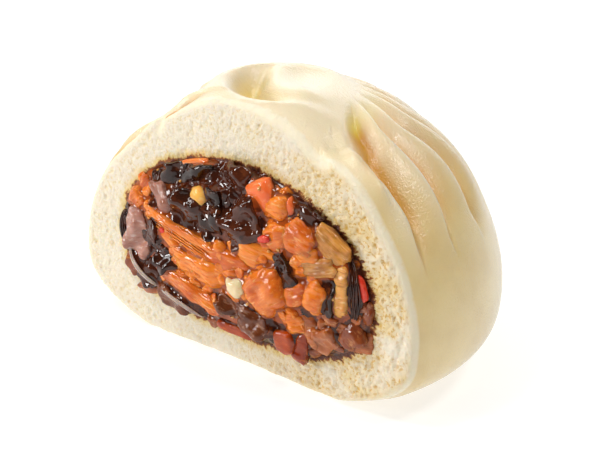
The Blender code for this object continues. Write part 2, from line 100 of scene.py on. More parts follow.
# The pleats, numbered anticlockwise from the one that shows best.
FIRST_CREASE = math.radians(-15.5)
PLEAT_CREST = 0.88  # how far across a pleat its overlapping edge lies
PLEAT_LEVEL = 0.72  # the share of a pleat's depth that lies below the plain dome
PLEAT_FOOT = 32.0 * MM
PLEAT_RUN = 15.0 * MM
FOOT_VARIES = 2.5 * MM
FOOT_WAVE = 1.7  # radians from one pleat to the next, in the waves by which their feet and depths vary
DEPTH_WAVE = 2.4
DEPTH_VARIES = 0.18
FADE_START = 1.0 * MM  # from the lip outwards the pleats rise over this way, longer for later ones
FADE_WIDTH = 7.0 * MM
FADE_WIDENS = 0.7 * MM
FADE_PLEATS = 4.0
LAST_FULL_PLEAT = 13
SIDE_PLEAT = 21  # the broad one between the first crease and the cut
SHOULDER_END = 26.0 * MM  # inside this the dough before the first crease is one smooth shoulder
SHOULDER_FADE = 6.0 * MM
SHOULDER_SINK = 1.6 * MM  # which lies a little lower than the plain dome
SHOULDER_MIDDLE = 25.0 * MM
SHOULDER_WIDTH = 5.0 * MM
SHOULDER_LEFT = math.radians(-64)
SHOULDER_RIGHT = math.radians(-20)
SHOULDER_LEFT_FADE = 0.35  # radians
SHOULDER_RIGHT_FADE = 0.2
SIDE_PLEAT_RISES = (0.0, 0.7)  # the shares of the way across it over which the side pleat rises
SIDE_PLEAT_SINKS = (0.35, 1.0)  # and over which it sinks where it meets the shoulder
SWAY = math.radians(4.0)  # how far a crease bellies out on its way down
SWAY_INNER = 23.5 * MM
SWAY_OUTER = 39.5 * MM
FIRST_SWAY = math.radians(5.0)  # the first crease strays at its top and again at its foot
FIRST_SWAY_TOP = (27 * MM, 22 * MM)
FIRST_SWAY_FOOT = (31 * MM, 37 * MM)
WEAK_SWAY = 0.6  # that foot's share of it, and the second crease's share of its own
TONGUE_LIFT = 2.0 * MM  # the side pleat starts as a tongue that stands out of the shoulder
TONGUE_INNER = 23.2 * MM
TONGUE_FOOT = 38.0 * MM
TONGUE_TAPER = 0.75  # the share of that from which it tapers off
TONGUE_LEFT = math.radians(-38.5)
TONGUE_RIGHT = math.radians(-18.0)
TONGUE_LEFT_FADE = math.radians(4.5)
TONGUE_RIGHT_FADE = math.radians(3)
TONGUE_SLANT = 3.5 * MM  # its root lies further out at its right, between these azimuths in degrees
TONGUE_SLANT_TURN = (-25, -17)
TONGUE_ROOT_BEFORE = 0.9 * MM  # it rises from this far inside its root to this far outside
TONGUE_ROOT_AFTER = 1.9 * MM
DENT_DEPTH = 1.2 * MM  # the short dent beside the tongue, at the cut
DENT_AZIMUTH = math.radians(-37.6)
DENT_TURN = math.radians(0.7) / MM  # how far round it runs for each mm that it runs down
DENT_WIDTH = math.radians(2.6)
DENT_TOP = 25.5 * MM  # where it lies at that azimuth
DENT_INNER = 26.0 * MM
DENT_OUTER = 33.0 * MM
DENT_INNER_FADE = 2 * MM
DENT_OUTER_FADE = 3 * MM
# Painted golden shade in the dent.
DENT_SHADE = 0.85

# How the mesh's rows are shared out along the outline.
FLAT_END = 0.09
SIDE_END = 0.31
LIP_START = 0.72
OUTLINE_STEP = 0.004  # its slope is taken over this share of it, each way
BUN_ROWS = 130
PLEAT_COLUMNS = 16
FOLD_CROWDING = 1.6

# Where the folds get painted golden shade and their edges painted pale sheen, as shares of the way across a
# pleat.
CREASE_NEAR = (0.3, 0.0)
CREASE_FAR = (0.92, 0.99)
CREASE_FAR_SIDE = (0.93, 0.99)
CREASE_TAIL = 0.8  # the painted golden shade runs on from the crease, and dies down by this power
CREASE_TAIL_POWER = 1.8
# Painted golden shade in the valley beside the shoulder.
VALLEY = (0.3, 0.95)
VALLEY_SHADE = 0.9
# Painted pale sheen on a pleat's overlapping edge and its crest.
CREST_SHEEN = (0.4, 0.85)
CREST_SHEEN_SHARE = 0.7
CREST_SHEEN_WIDTH = 0.05

# The cut and the filling's pocket.
CUT_GRID = 0.31 * MM
KNIFE_WIDTH = 2.2  # of the bun's radius
KNIFE_HEIGHT = 1.15  # of the dome's height
KNIFE_LOW = 0.42  # the share of its own height that lies over the base, under the middle
TORN_RELIEF = 0.22 * MM  # the knife drags the crumb
TORN_COARSE = 6.2 * MM
TORN_FINE = 1.4 * MM
TORN_FINE_SHARE = 0.35
TEAR = 1.0 * MM  # and its surface tears by this much, in bits of this size
TEAR_SIZE = 1.1 * MM
WARP = 1.6 * MM  # how far the bubbles and tears are drawn out of line, and how often in a metre
WARP_FREQUENCY = 420.0
PORE_VARIES = 0.42  # a bubble's share of its cell: the least, and how much more the largest has
LEAST_PORE = 0.06
EDGE_ROUNDING = 3.6 * MM
ROUNDING_STEPS = 40
FILLING_HEIGHT = 24.0 * MM
FILLING_RADIUS = 35.6 * MM
FILLING_ABOVE = 22.9 * MM
FILLING_BELOW = 18.2 * MM
FLAT_BELOW = 2.9
SLOPED_RIGHT = 1.75
POCKET_OVERLAP = 0.35 * MM  # the dough closes on the filling without a gap
SIGHT_RIGHT = 0.73  # how far right and up a piece moves for each mm that it stands out of the cut
SIGHT_UP = 0.54
POCKET_COLUMNS = 420
POCKET_RAGGED = 0.9 * MM
POCKET_MARGIN = 1.5 * MM  # its wall lies within this of the heap
RAGGED_SIZE = 0.045  # of the heap's radius
RAGGED_LEAST = 0.35
RAGGED_TOWARD = math.radians(40)
RAGGED_SPREAD = (0.2, 0.9)  # cosines of the angle from there
OPEN_CRUMB = (-12 * MM, 34 * MM)  # it opens from left to right in the cut
GRAIN_ROUND = 26 * MM  # the radius at which the torn crumb's grain is true to size
GRAIN_DRAWN = 0.75  # and how close it lies outwards
CRUMB_SLOT = 1  # the dough's second material

Kind = namedtuple(
    "Kind", "thick most square rough bend bend_size lump lump_size grain grain_size fine"
)
# What each kind of piece is like. Thickness beside its shorter side and its most in mm, how square its
# edge is in section, how uneven its outline is, then depth and size in mm of its bends, lumps and grain.
KINDS = {
    "meat": Kind(0.80, 4.8, 2.8, 0.09, 0.6, 5.0, 0.45, 2.6, 0.26, 0.8, 5),
    "carrot": Kind(0.80, 4.2, 3.4, 0.05, 0.3, 4.0, 0.16, 2.4, 0.03, 0.7, 4),
    "kernel": Kind(0.80, 3.4, 2.2, 0.02, 0.1, 4.0, 0.12, 1.6, 0.03, 0.7, 4),
    "garlic": Kind(0.80, 3.6, 2.6, 0.12, 0.2, 3.0, 0.32, 1.3, 0.08, 0.5, 4),
    "ear": Kind(0.36, 1.6, 4.0, 0.18, 1.7, 4.2, 0.10, 2.6, 0.50, 2.4, 5),
    "mushroom": Kind(0.60, 2.8, 3.4, 0.12, 0.8, 4.0, 0.20, 2.4, 0.14, 1.2, 5),
    "strand": Kind(0.80, 2.2, 2.6, 0.08, 0.7, 6.0, 0.16, 1.8, 0.34, 0.7, 5),
    "cube": Kind(0.75, 4.0, 5.0, 0.05, 0.2, 5.0, 0.20, 2.2, 0.06, 0.8, 4),
    "slice": Kind(0.60, 2.8, 2.8, 0.06, 0.5, 6.0, 0.20, 2.4, 0.36, 0.9, 5),
    "chilli": Kind(0.60, 1.4, 3.0, 0.10, 0.2, 2.0, 0.12, 1.0, 0.03, 0.5, 3),
}
CROWDING = 1.07  # the pieces run on a little under their neighbours
SMALL_PIECE = 3.0  # mm, under which a piece has fewer faces
SQUARE_PIECE = 3.0  # past this a piece is flatter to its edge
LONG_PIECE = 2.2  # times its width, from which a piece only leans along its length
LOOSE_PIECE = 5.0  # mm, up to which a smaller piece bends less
GRAIN_ALONG = 0.22  # how far a food's grain is drawn out along the piece
RIDGED = ("ear", "mushroom")  # whose grain is sharp ridges, not fibres
LEAN = math.radians(13)  # how far a piece may lean out of the heap's face
SCRAP_TILT = 0.3  # and a scrap, in radians
SETTLING = 3  # rounds in which a piece's place and depth are fitted to each other
PATH_STEPS = 24  # along a bundle of fibres
PATH_ENDS = 0.3  # mm by which its ends dip into the heap
PATH_ARCH = 0.4  # how steeply it rises from them, less is steeper
FIBRE_SIDES = 6
FIBRE_WAVES = 170.0  # in a metre
FILM_SIZE = 2.3 * MM  # the sauce film's bumps

# The sauce and the core under it.
CORE_RINGS = 110
CORE_BACK_RINGS = 16
CORE_COLUMNS = 300
CORE_EDGE = 0.03  # the share of its radius over which the sauce rises from the crumb
FRONT_MARGIN = 0.01 * MM
SAUCE_LOW = (-36, 2)  # the corners of the grid over the cut on which it is poured, in mm
SAUCE_HIGH = (40, 52)
SAUCE_STEP = 0.25 * MM
SAUCE_LEAST = 0.05 * MM
SAUCE_RIPPLE = 0.15 * MM
SAUCE_RIPPLE_SIZE = 1.1 * MM
SAUCE_BLURS = 2
LEVEL_RADIUS = 3.2 * MM  # pieces that lie lower than a ball of this size would rest get painted shade, darker brown
AMBER = 0.8  # how light the sauce is over the pork, give or take the next, in patches of this size
AMBER_VARIES = 0.3
AMBER_SIZE = 5 * MM

# Every piece that shows: how far right of the axis and how high, length, width, turn in degrees,
# corners (0 is round), and how far it stands proud. Sizes in mm.
PORK = [
    (-11.5, 18.5, 17.0, 6.5, -8, 4, 1.2),
    (-7.5, 23.0, 20.0, 5.5, -6, 4, 1.0),
    (3.2, 25.8, 10.5, 7.0, -10, 4, 0.8),
    (12.2, 32.2, 9.5, 8.0, -12, 5, 1.9),
    (7.8, 31.2, 6.5, 6.0, 25, 5, 1.6),
    (15.6, 30.0, 5.0, 3.4, 15, 0, 1.7),
    (7.7, 37.3, 5.4, 5.0, 0, 0, 1.8),
    (5.2, 18.4, 10.5, 10.0, 40, 5, 2.2),
    (12.6, 20.2, 7.0, 5.0, 25, 5, 1.8),
    (17.8, 21.4, 4.6, 7.0, -8, 4, 2.2),
    (13.4, 14.6, 4.6, 5.4, 15, 5, 1.2),
    (-19.2, 23.0, 5.6, 4.0, -12, 0, 1.6),
    (-21.0, 27.8, 7.5, 2.8, 0, 4, 1.3),
    (-29.0, 29.2, 5.0, 5.0, 40, 5, 1.2),
    (-27.0, 33.0, 4.6, 3.0, 50, 0, 0.9),
]
CARROT = [
    (3.8, 38.5, 6.6, 8.4, 25, 4, 1.6),
    (11.2, 38.2, 2.6, 4.8, 10, 3, 1.0),
    (-13.6, 41.6, 9.0, 1.8, 17, 4, 0.8),
]
KERNEL = [(-12.5, 33.1, 4.4, 6.2, -12, 0, 1.9)]
GARLIC = [(-2.0, 17.1, 4.8, 4.2, -12, 5, 1.9)]
WOOD_EAR = [
    (-15.0, 38.8, 14.0, 4.6, 12, 4, 0.9),
    (-13.2, 29.8, 13.0, 8.0, -12, 4, 1.6),
    (-8.3, 32.0, 5.0, 11.0, 6, 4, 1.5),
    (-3.2, 40.2, 10.0, 7.0, 12, 5, 1.0),
    (-0.6, 31.6, 10.0, 8.4, 38, 4, 1.5),
    (14.6, 38.2, 6.4, 3.6, -8, 4, 1.0),
    (18.2, 38.4, 3.2, 3.0, 0, 5, 0.8),
    (10.8, 24.8, 4.0, 8.0, 38, 4, 1.1),
    (21.4, 22.4, 3.6, 7.4, 5, 4, 0.8),
    (-20.4, 17.4, 5.6, 5.0, 30, 4, 1.4),
    (-24.2, 22.6, 3.4, 5.6, 10, 5, 1.5),
    (-25.2, 12.8, 5.0, 6.4, -20, 5, 1.4),
]
PALE_FLAPS = [
    (-22.2, 31.6, 6.6, 5.0, -25, 5, 1.5),
    (-28.6, 21.2, 7.0, 9.6, 12, 5, 1.5),
]
FLAPS = [
    (0.4, 11.6, 14.0, 5.0, -10, 4, 2.2),
    (-18.0, 9.4, 10.4, 4.2, -8, 5, 1.8),
]
MUSHROOM = [
    (-29.6, 13.8, 5.0, 5.0, 20, 5, 1.2),
    (-25.4, 9.6, 6.4, 2.8, 8, 5, 1.3),
    (21.0, 13.0, 6.0, 6.0, -35, 5, 1.5),
    (27.4, 16.0, 5.6, 6.0, -30, 5, 1.6),
    (31.0, 15.6, 4.0, 5.2, 0, 4, 0.8),
    (17.8, 14.4, 4.0, 7.4, 20, 4, 0.9),
    (22.4, 18.0, 3.8, 2.0, -15, 4, 1.0),
    (31.2, 22.0, 3.0, 5.0, -12, 5, 0.8),
]
CUBE = [
    (11.2, 9.2, 5.6, 5.4, 10, 4, 2.2),
    (15.4, 9.2, 3.6, 7.6, -8, 3, 1.8),
    (-1.5, 7.6, 10.0, 2.2, -2, 4, 1.4),
]
BAMBOO = [
    (21.2, 33.5, 9.6, 5.8, -28, 4, 2.0),
    (18.2, 27.8, 9.4, 3.9, 17, 4, 1.4),
    (24.5, 24.6, 3.2, 11.4, 3, 4, 1.3),
]
CHILLI = [
    (29.6, 27.0, 2.0, 5.6, 22, 4, 1.4),
    (5.2, 30.3, 3.0, 1.6, 20, 5, 1.9),
    (-21.2, 24.2, 1.5, 1.3, 0, 5, 1.6),
]
PORK_STRIPS = [
    (-16.6, 25.6, 21.0, 2.0, -12, 4, 2.0),
    (-14.2, 12.8, 18.0, 4.0, -17, 4, 1.7),
]
# Bundles of fibres: where each starts, its middle and its end, right and up, then its width and how
# far it stands proud, all in mm.
PORK_SHREDS = [
    ((-26.2, 26.8), (-16.0, 24.4), (-6.6, 21.6), 2.6, 1.7),
]
PALE_EDGE = [
    ((-30.0, 19.4), (-28.4, 14.2), (-21.8, 11.0), 0.6, 2.6),
    ((-22.6, 11.3), (-16.2, 9.4), (-9.4, 7.8), 0.6, 2.8),
]
DARK_SHREDS = [
    ((27.2, 33.0), (27.6, 27.0), (28.4, 19.6), 3.0, 1.4),
    ((25.6, 34.2), (26.4, 28.6), (26.2, 21.0), 1.6, 1.2),
    ((-31.4, 26.4), (-32.4, 21.6), (-30.6, 16.6), 1.8, 1.2),
]


def linear(code):
    """Linear colour of an sRGB hex code."""
    parts = [int(code[i : i + 2], 16) / 255 for i in (1, 3, 5)]
    return tuple(c / 12.92 if c <= 0.04045 else ((c + 0.055) / 1.055) ** 2.4 for c in parts)


def length_property(name, description, value):
    """A length in metres that the sidebar shows."""
    return FloatProperty(name=name, description=description, default=value, min=0.0, unit="LENGTH")


def angle_property(name, description, degrees):
    """An angle that the sidebar shows, from degrees."""
    return FloatProperty(name=name, description=description, default=math.radians(degrees), subtype="ANGLE")


def colour_property(name, description, code):
    """A colour that the sidebar shows, from an sRGB hex code."""
    return FloatVectorProperty(
        name=name, description=description, subtype="COLOR", size=3, min=0, max=1, default=linear(code)
    )


class DoughSettings(bpy.types.PropertyGroup):
    """Sizes and colours of the steamed dough."""

    radius: length_property("Radius", "Half the bun's widest width", 46.0 * MM)
    dome_height: length_property("Dome height", "Where the dome would close, not gathered in", 59.4 * MM)
    base_radius: length_property("Base radius", "Half the width of the flat that it stands on", 28.8 * MM)
    belly_height: length_property("Belly height", "Height at which the bun is widest", 16.6 * MM)
    lip_radius: length_property("Lip radius", "Radius of the gathered opening", 13.0 * MM)
    hollow_depth: length_property("Hollow depth", "Depth of the gathered top's hollow", 8.0 * MM)
    cut_offset: length_property("Cut offset", "How far in front of the axis the cut lies", 15.06 * MM)
    pleats: IntProperty(name="Pleats", description="Pleats all round", default=22, min=3)
    pleat_depth: length_property("Pleat depth", "Height of a pleat's overlapping edge", 3.2 * MM)
    pore_depth: length_property("Pore depth", "Depth of the crumb's larger bubbles", 0.3 * MM)
    pore_size: length_property("Pore size", "Spacing of the crumb's larger bubbles", 1.3 * MM)
    skin_colour: colour_property("Skin", "Smooth steamed skin", "#F0D79A")
    # Painted golden shade of the skin deep in a fold.
    crease_shade_colour: colour_property("Crease", "Skin deep in a fold", "#D69614")
    crumb_colour: colour_property("Crumb", "Torn crumb", "#EEE3CD")
    # Partly the crumb's own tone, partly painted shade inside the bubbles.
    pore_shade_colour: colour_property("Pores", "Inside of the crumb's bubbles", "#D2A244")
    soaked_colour: colour_property("Soaked crumb", "Crumb that took up sauce", "#5E2A10")
    oily_colour: colour_property("Oily crumb", "Crumb that took up oil", "#E4C060")


class FillingSettings(bpy.types.PropertyGroup):
    """Sizes and colours of the braised filling."""

    bulge: length_property("Bulge", "How far the heap stands out of the cut", 4.2 * MM)
    film_radius: length_property("Film radius", "Radius of the sauce's hollow between two pieces", 1.5 * MM)
    film_drop: length_property("Film drop", "How far the sauce lies under the pieces' tops", 0.4 * MM)
    fibre_radius: length_property("Fibre radius", "Half the thickness of a meat fibre", 0.2 * MM)
    pork_colour: colour_property("Pork", "Glazed lean pork", "#C4520E")
    fat_colour: colour_property("Fat", "Glazed fat and the palest fibres", "#F8BC6C")
    ear_colour: colour_property("Wood ear", "Darkest wood ear", "#1E0A03")
    ear_thin_colour: colour_property("Thin wood ear", "Wood ear where it is thin", "#6A3418")
    sauce_colour: colour_property("Sauce", "Deep brown sauce", "#2C0F06")
    carrot_colour: colour_property("Carrot", "Braised carrot", "#F06A30")
    bamboo_colour: colour_property("Bamboo shoot", "Braised bamboo shoot", "#96561C")
    chilli_colour: colour_property("Chilli", "Red chilli", "#D22A1C")


class StageSettings(bpy.types.PropertyGroup):
    """The camera's place and the studio's light."""

    azimuth: angle_property("Azimuth", "Camera's turn to the right", 35.99)
    elevation: angle_property("Elevation", "Camera's height angle", 23.57)
    roll: angle_property("Roll", "Camera's roll", 2.84)
    distance: length_property("Distance", "From the bun's middle to the camera", 369.7 * MM)
    lens: FloatProperty(name="Lens", description="Focal length", default=105.7, min=1, unit="CAMERA")
    light_power: FloatProperty(
        name="Lights", description="Power of the front light", default=1.14, min=0, unit="POWER"
    )
    surround: FloatProperty(name="Surround", description="Strength of the tent", default=0.1, min=0)
    table_glow: FloatProperty(name="Table glow", description="Light from in the table", default=0.7, min=0)


# ---- Nodes and meshes.


# The kinds of node that the trees use most.
MATH = "ShaderNodeMath"
VECTOR_MATH = "ShaderNodeVectorMath"
MAP_RANGE = "ShaderNodeMapRange"
NOISE = "ShaderNodeTexNoise"
STORED = "GeometryNodeInputNamedAttribute"
SMOOTH = {"interpolation_type": "SMOOTHSTEP"}  # for a Map Range that rises smoothly from low to high


def add_node(tree, kind, inputs=(), output=None, **settings):
    """Adds a node with its settings, fills its inputs or links them, and returns one of its outputs.

    The inputs that are in use are given in their order or by name. The output is the first in use
    unless one is named.
    """
    node = tree.nodes.new(kind)
    for key, value in settings.items():
        setattr(node, key, value)
    sockets = [socket for socket in node.inputs if socket.enabled]
    if isinstance(inputs, dict):
        names = [socket.name for socket in sockets]
        sockets = [sockets[names.index(name)] for name in inputs]
        inputs = inputs.values()
    for socket, value in zip(sockets, inputs):
        if isinstance(value, bpy.types.NodeSocket):
            tree.links.new(value, socket)
        elif socket.type == "RGBA":
            socket.default_value = (*(linear(value) if isinstance(value, str) else value), 1)
        else:
            socket.default_value = value
    if output:
        return node.outputs[output]
    return next((socket for socket in node.outputs if socket.enabled), None)


def geometry_tree(name, **inputs):
    """A geometry node tree with a geometry in and out, and a named number for each input."""
    tree = bpy.data.node_groups.new(name, "GeometryNodeTree")
    tree.interface.new_socket("Geometry", in_out="INPUT", socket_type="NodeSocketGeometry")
    tree.interface.new_socket("Geometry", in_out="OUTPUT", socket_type="NodeSocketGeometry")
    for label, value in inputs.items():
        kind = "NodeSocketInt" if isinstance(value, int) else "NodeSocketFloat"
        socket = tree.interface.new_socket(label.replace("_", " "), in_out="INPUT", socket_type=kind)
        socket.default_value = value
    return tree, tree.nodes.new("NodeGroupInput").outputs


def run_tree(obj, tree, **values):
    """Runs a geometry node tree on an object and keeps the result as its plain mesh."""
    modifier = obj.modifiers.new(tree.name, "NODES")
    modifier.node_group = tree
    sockets = {item.name: item.identifier for item in tree.interface.items_tree if item.in_out == "INPUT"}
    for label, value in values.items():
        modifier[sockets[label.replace("_", " ")]] = value
    bake_modifiers(obj)


def bake_modifiers(obj):
    """Replaces an object's mesh by what its modifiers make of it."""
    graph = bpy.context.evaluated_depsgraph_get()
    made = bpy.data.meshes.new_from_object(obj.evaluated_get(graph))
    obj.modifiers.clear()
    obj.data = made


def end_tree(tree, geometry, material, faces=True):
    """Ends a geometry node tree: everything made real, and its faces, or some of them, given a material."""
    real = add_node(tree, "GeometryNodeRealizeInstances", [geometry])
    done = add_node(tree, "GeometryNodeSetMaterial", [real, faces, material])
    add_node(tree, "NodeGroupOutput", [done])
    return tree


def new_object(name, mesh, material=None):
    """A named object at the origin for a mesh or a bmesh, which it frees."""
    if isinstance(mesh, bmesh.types.BMesh):
        data = bpy.data.meshes.new(name)
        mesh.to_mesh(data)
        mesh.free()
        mesh = data
    obj = bpy.data.objects.new(name, mesh)
    bpy.context.scene.collection.objects.link(obj)
    if material:
        mesh.materials.clear()
        mesh.materials.append(material)
    return obj


def finish_piece(obj, node=None):
    """Shades a piece smooth and hands it to the frame."""
    obj.data.shade_smooth()
    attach(obj, "root")
    if node:
        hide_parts(node)
    return obj


def points_of(mesh):
    """A mesh's points as rows of x, y, z."""
    found = np.zeros(len(mesh.vertices) * 3)
    mesh.vertices.foreach_get("co", found)
    return found.reshape(-1, 3)


def set_points(mesh, points):
    """Moves a mesh's points to these places."""
    mesh.vertices.foreach_set("co", np.ascontiguousarray(points, dtype=np.float32).ravel())
    mesh.update()


def store(mesh, name, values, kind="FLOAT"):
    """Keeps a value, or a vector, for each point of a mesh."""
    attribute = mesh.attributes.get(name) or mesh.attributes.new(name, kind, "POINT")
    field = "vector" if kind == "FLOAT_VECTOR" else "value"
    attribute.data.foreach_set(field, np.ascontiguousarray(values, dtype=np.float32).ravel())


def stored(mesh, name):
    """The value that is kept for each point of a mesh."""
    values = np.zeros(len(mesh.vertices))
    mesh.attributes[name].data.foreach_get("value", values)
    return values


def noise_at(points, size, shift=0.0):
    """Smooth noise from about -1 to 1, whose bumps are of this size."""
    return np.array([noise.noise(Vector(p) / size + Vector((shift, 2 * shift, 0))) for p in points])


def smoothstep(low, high, x):
    """0 below low, 1 above high, and smooth between them."""
    share = np.clip((x - low) / (high - low), 0.0, 1.0)
    return share * share * (3 - 2 * share)


# ---- The dough.


def dome_height(dough, radius):
    """Height of the smooth dome at this distance from the axis."""
    across = np.minimum(radius / dough.radius, 1.0)
    return dough.belly_height + (dough.dome_height - dough.belly_height) * (
        np.maximum(1 - across**DOME_POWER, 0) ** (1 / DOME_POWER)
    )


def hollow_depth(dough, radius):
    """Depth of the hollow in the bun's top, before the lobe is tucked into it."""
    return dough.hollow_depth * smoothstep(dough.lip_radius, HOLLOW_FLOOR_RADIUS, radius)


def lip_rise(dough, radius):
    """Height of the lip round the hollow over the plain dome."""
    return LIP_RISE * np.exp(-(((radius - dough.lip_radius) / LIP_WIDTH) ** 2))


def profile(dough, share):
    """(radius, height) along the bun's outline, from the middle of its base to that of its top."""
    along = np.clip((share - FLAT_END) / (SIDE_END - FLAT_END), 0, 1)
    side_height = dough.belly_height * (1 - np.cos(along * math.pi / 2))
    under = (dough.belly_height - side_height) / dough.belly_height
    side_radius = dough.radius - (dough.radius - dough.base_radius) * under**BASE_CURL
    lip_angle = math.acos((dough.lip_radius / dough.radius) ** (DOME_POWER / 2))
    angle = lip_angle * np.clip((share - SIDE_END) / (LIP_START - SIDE_END), 0, 1)
    dome_radius = dough.radius * np.cos(angle) ** (2 / DOME_POWER)
    radius = np.select(
        [share <= FLAT_END, share <= SIDE_END, share <= LIP_START],
        [dough.base_radius * share / FLAT_END, side_radius, dome_radius],
        dough.lip_radius * (1 - share) / (1 - LIP_START),
    )
    top = dome_height(dough, radius) + lip_rise(dough, radius) - hollow_depth(dough, radius)
    return radius, np.select([share <= FLAT_END, share <= SIDE_END], [0 * share, side_height], top)


def unit_ball(name, columns, rows):
    """A closed ball of radius 1 with its poles on Z. Its points and faces come in the same order in every
    run, so that what is scattered over it stays in its place."""
    level = np.repeat(np.arange(1, rows) * math.pi / rows, columns)
    turn = np.tile(np.arange(columns) * 2 * math.pi / columns, rows - 1)
    rings = np.stack([np.sin(level) * np.cos(turn), np.sin(level) * np.sin(turn), np.cos(level)], 1)
    points = [(0, 0, 1), *rings.tolist(), (0, 0, -1)]
    faces = []
    for column in range(columns):
        here, there = 1 + column, 1 + (column + 1) % columns
        faces.append((0, here, there))
        for start in range(0, (rows - 2) * columns, columns):
            faces.append((start + here, start + columns + here, start + columns + there, start + there))
        last = (rows - 2) * columns
        faces.append((len(points) - 1, last + there, last + here))
    mesh = bpy.data.meshes.new(name)
    mesh.from_pydata(points, [], faces)
    return mesh


def dough_ball(dough):
    """The bun before it is pleated: a sphere's meridians laid along the pleats, closer at each fold."""
    columns = dough.pleats * PLEAT_COLUMNS
    ball = new_object("bun_dough_skin", unit_ball("bun_dough_skin", columns, BUN_ROWS))
    unit = points_of(ball.data)
    column = np.round(np.arctan2(unit[:, 1], unit[:, 0]) / (2 * math.pi) * columns) % columns
    number, step = np.divmod(column, PLEAT_COLUMNS)
    across = 1 - (1 - step / PLEAT_COLUMNS) ** FOLD_CROWDING
    share = np.arccos(np.clip(-unit[:, 2], -1, 1)) / math.pi
    radius, height = profile(dough, share)
    azimuth = FIRST_CREASE + (number + across) * 2 * math.pi / dough.pleats
    azimuth += swayed(number, radius) * (1 - across) + swayed((number + 1) % dough.pleats, radius) * across
    upper = share > SIDE_END
    wound = np.maximum(SWIRL_RADIUS - radius, 0) / (SWIRL_RADIUS - dough.lip_radius)
    azimuth = azimuth + np.where(upper, SWIRL * wound**1.5, 0)
    before = profile(dough, np.maximum(share - OUTLINE_STEP, 0))
    after = profile(dough, np.minimum(share + OUTLINE_STEP, 1))
    rise, run = after[1] - before[1], before[0] - after[0]
    steep = np.maximum(np.hypot(rise, run), TINY)
    heading = np.stack([np.cos(azimuth), np.sin(azimuth), 0 * azimuth], 1)
    outward = heading * (rise / steep)[:, None] + np.array((0, 0, 1)) * (run / steep)[:, None]
    points = heading * radius[:, None] + np.array((0, 0, 1)) * height[:, None]
    points -= outward * (upper * SLOPE_DEPTH * sloping(radius, azimuth))[:, None]
    set_points(ball.data, points)
    fold, sink = folding(number, across, radius)
    stood, dented, sunken = tongue(azimuth, radius)
    sink += (TONGUE_LIFT * stood - DENT_DEPTH * dented - SHOULDER_SINK * sunken) / dough.pleat_depth
    # Painted golden shade deep in the folds, and painted pale sheen at their edges.
    marked, edge = fold_shade_and_sheen(number, across, radius, dented)
    values = dict(number=number, across=across, radius=radius, height=height, share=share)
    values.update(marked=marked, edge=edge, fold=fold * upper, sink=sink * upper)
    for name, value in values.items():
        store(ball.data, name, value)
    store(ball.data, "outward", outward, "FLOAT_VECTOR")
    return ball


def fold_shade_and_sheen(number, across, radius, dented):
    """Painted shade, golden deep in a fold, and painted sheen, pale at a pleat's edge."""
    full, beside_cut = number <= LAST_FULL_PLEAT, number == SIDE_PLEAT
    tail = CREASE_TAIL * (1 - across) ** CREASE_TAIL_POWER
    near = np.where(full, smoothstep(*CREASE_NEAR, across) + tail, 0)
    by_shoulder = smoothstep(SHOULDER_END + SHOULDER_FADE, SHOULDER_END, radius)
    valley = VALLEY_SHADE * smoothstep(*VALLEY, across) * by_shoulder
    side = np.maximum(valley, smoothstep(*CREASE_FAR_SIDE, across))
    far = np.where(beside_cut, side, smoothstep(*CREASE_FAR, across))
    pleated = full | beside_cut
    marked = np.minimum(np.maximum(np.maximum(near, far) * pleated, DENT_SHADE * dented), 1)
    edge = np.exp(-(((across - PLEAT_CREST) / CREST_SHEEN_WIDTH) ** 2))
    edge = edge + CREST_SHEEN_SHARE * smoothstep(*CREST_SHEEN, across)
    return marked, np.minimum(edge, 1) * pleated


def sloping(radius, azimuth):
    """How far a place lies on the side where the shoulder falls away."""
    turn = np.abs((azimuth - SLOPE_AZIMUTH + math.pi) % (2 * math.pi) - math.pi)
    ring = np.exp(-(((radius - SLOPE_RADIUS) / SLOPE_WIDTH) ** 2))
    return ring * smoothstep(SLOPE_SPREAD, SLOPE_FULL * SLOPE_SPREAD, turn)


def swayed(number, radius):
    """How far round the axis a crease strays as it runs down the shoulder."""
    belly = np.sin(math.pi * np.clip((radius - SWAY_INNER) / (SWAY_OUTER - SWAY_INNER), 0, 1))
    first = smoothstep(*FIRST_SWAY_TOP, radius) + WEAK_SWAY * smoothstep(*FIRST_SWAY_FOOT, radius)
    others = np.where(number <= LAST_FULL_PLEAT, np.where(number == 1, WEAK_SWAY, 1.0), 0.0)
    return np.where(number == 0, FIRST_SWAY * first, SWAY * belly * others)


def folding(number, across, radius):
    """How strongly each place is pleated, and how far it sinks: the side pleat is unlike the rest."""
    below = smoothstep(SHOULDER_END, SHOULDER_END + SHOULDER_FADE, radius)
    side = number == SIDE_PLEAT
    smooth = (number > LAST_FULL_PLEAT) & ~side
    fold = np.select([side, smooth], [below * smoothstep(*SIDE_PLEAT_RISES, across), 0], 1.0)
    sink = np.where(side, -PLEAT_LEVEL * smoothstep(*SIDE_PLEAT_SINKS, across) * (1 - below), 0)
    return fold, sink


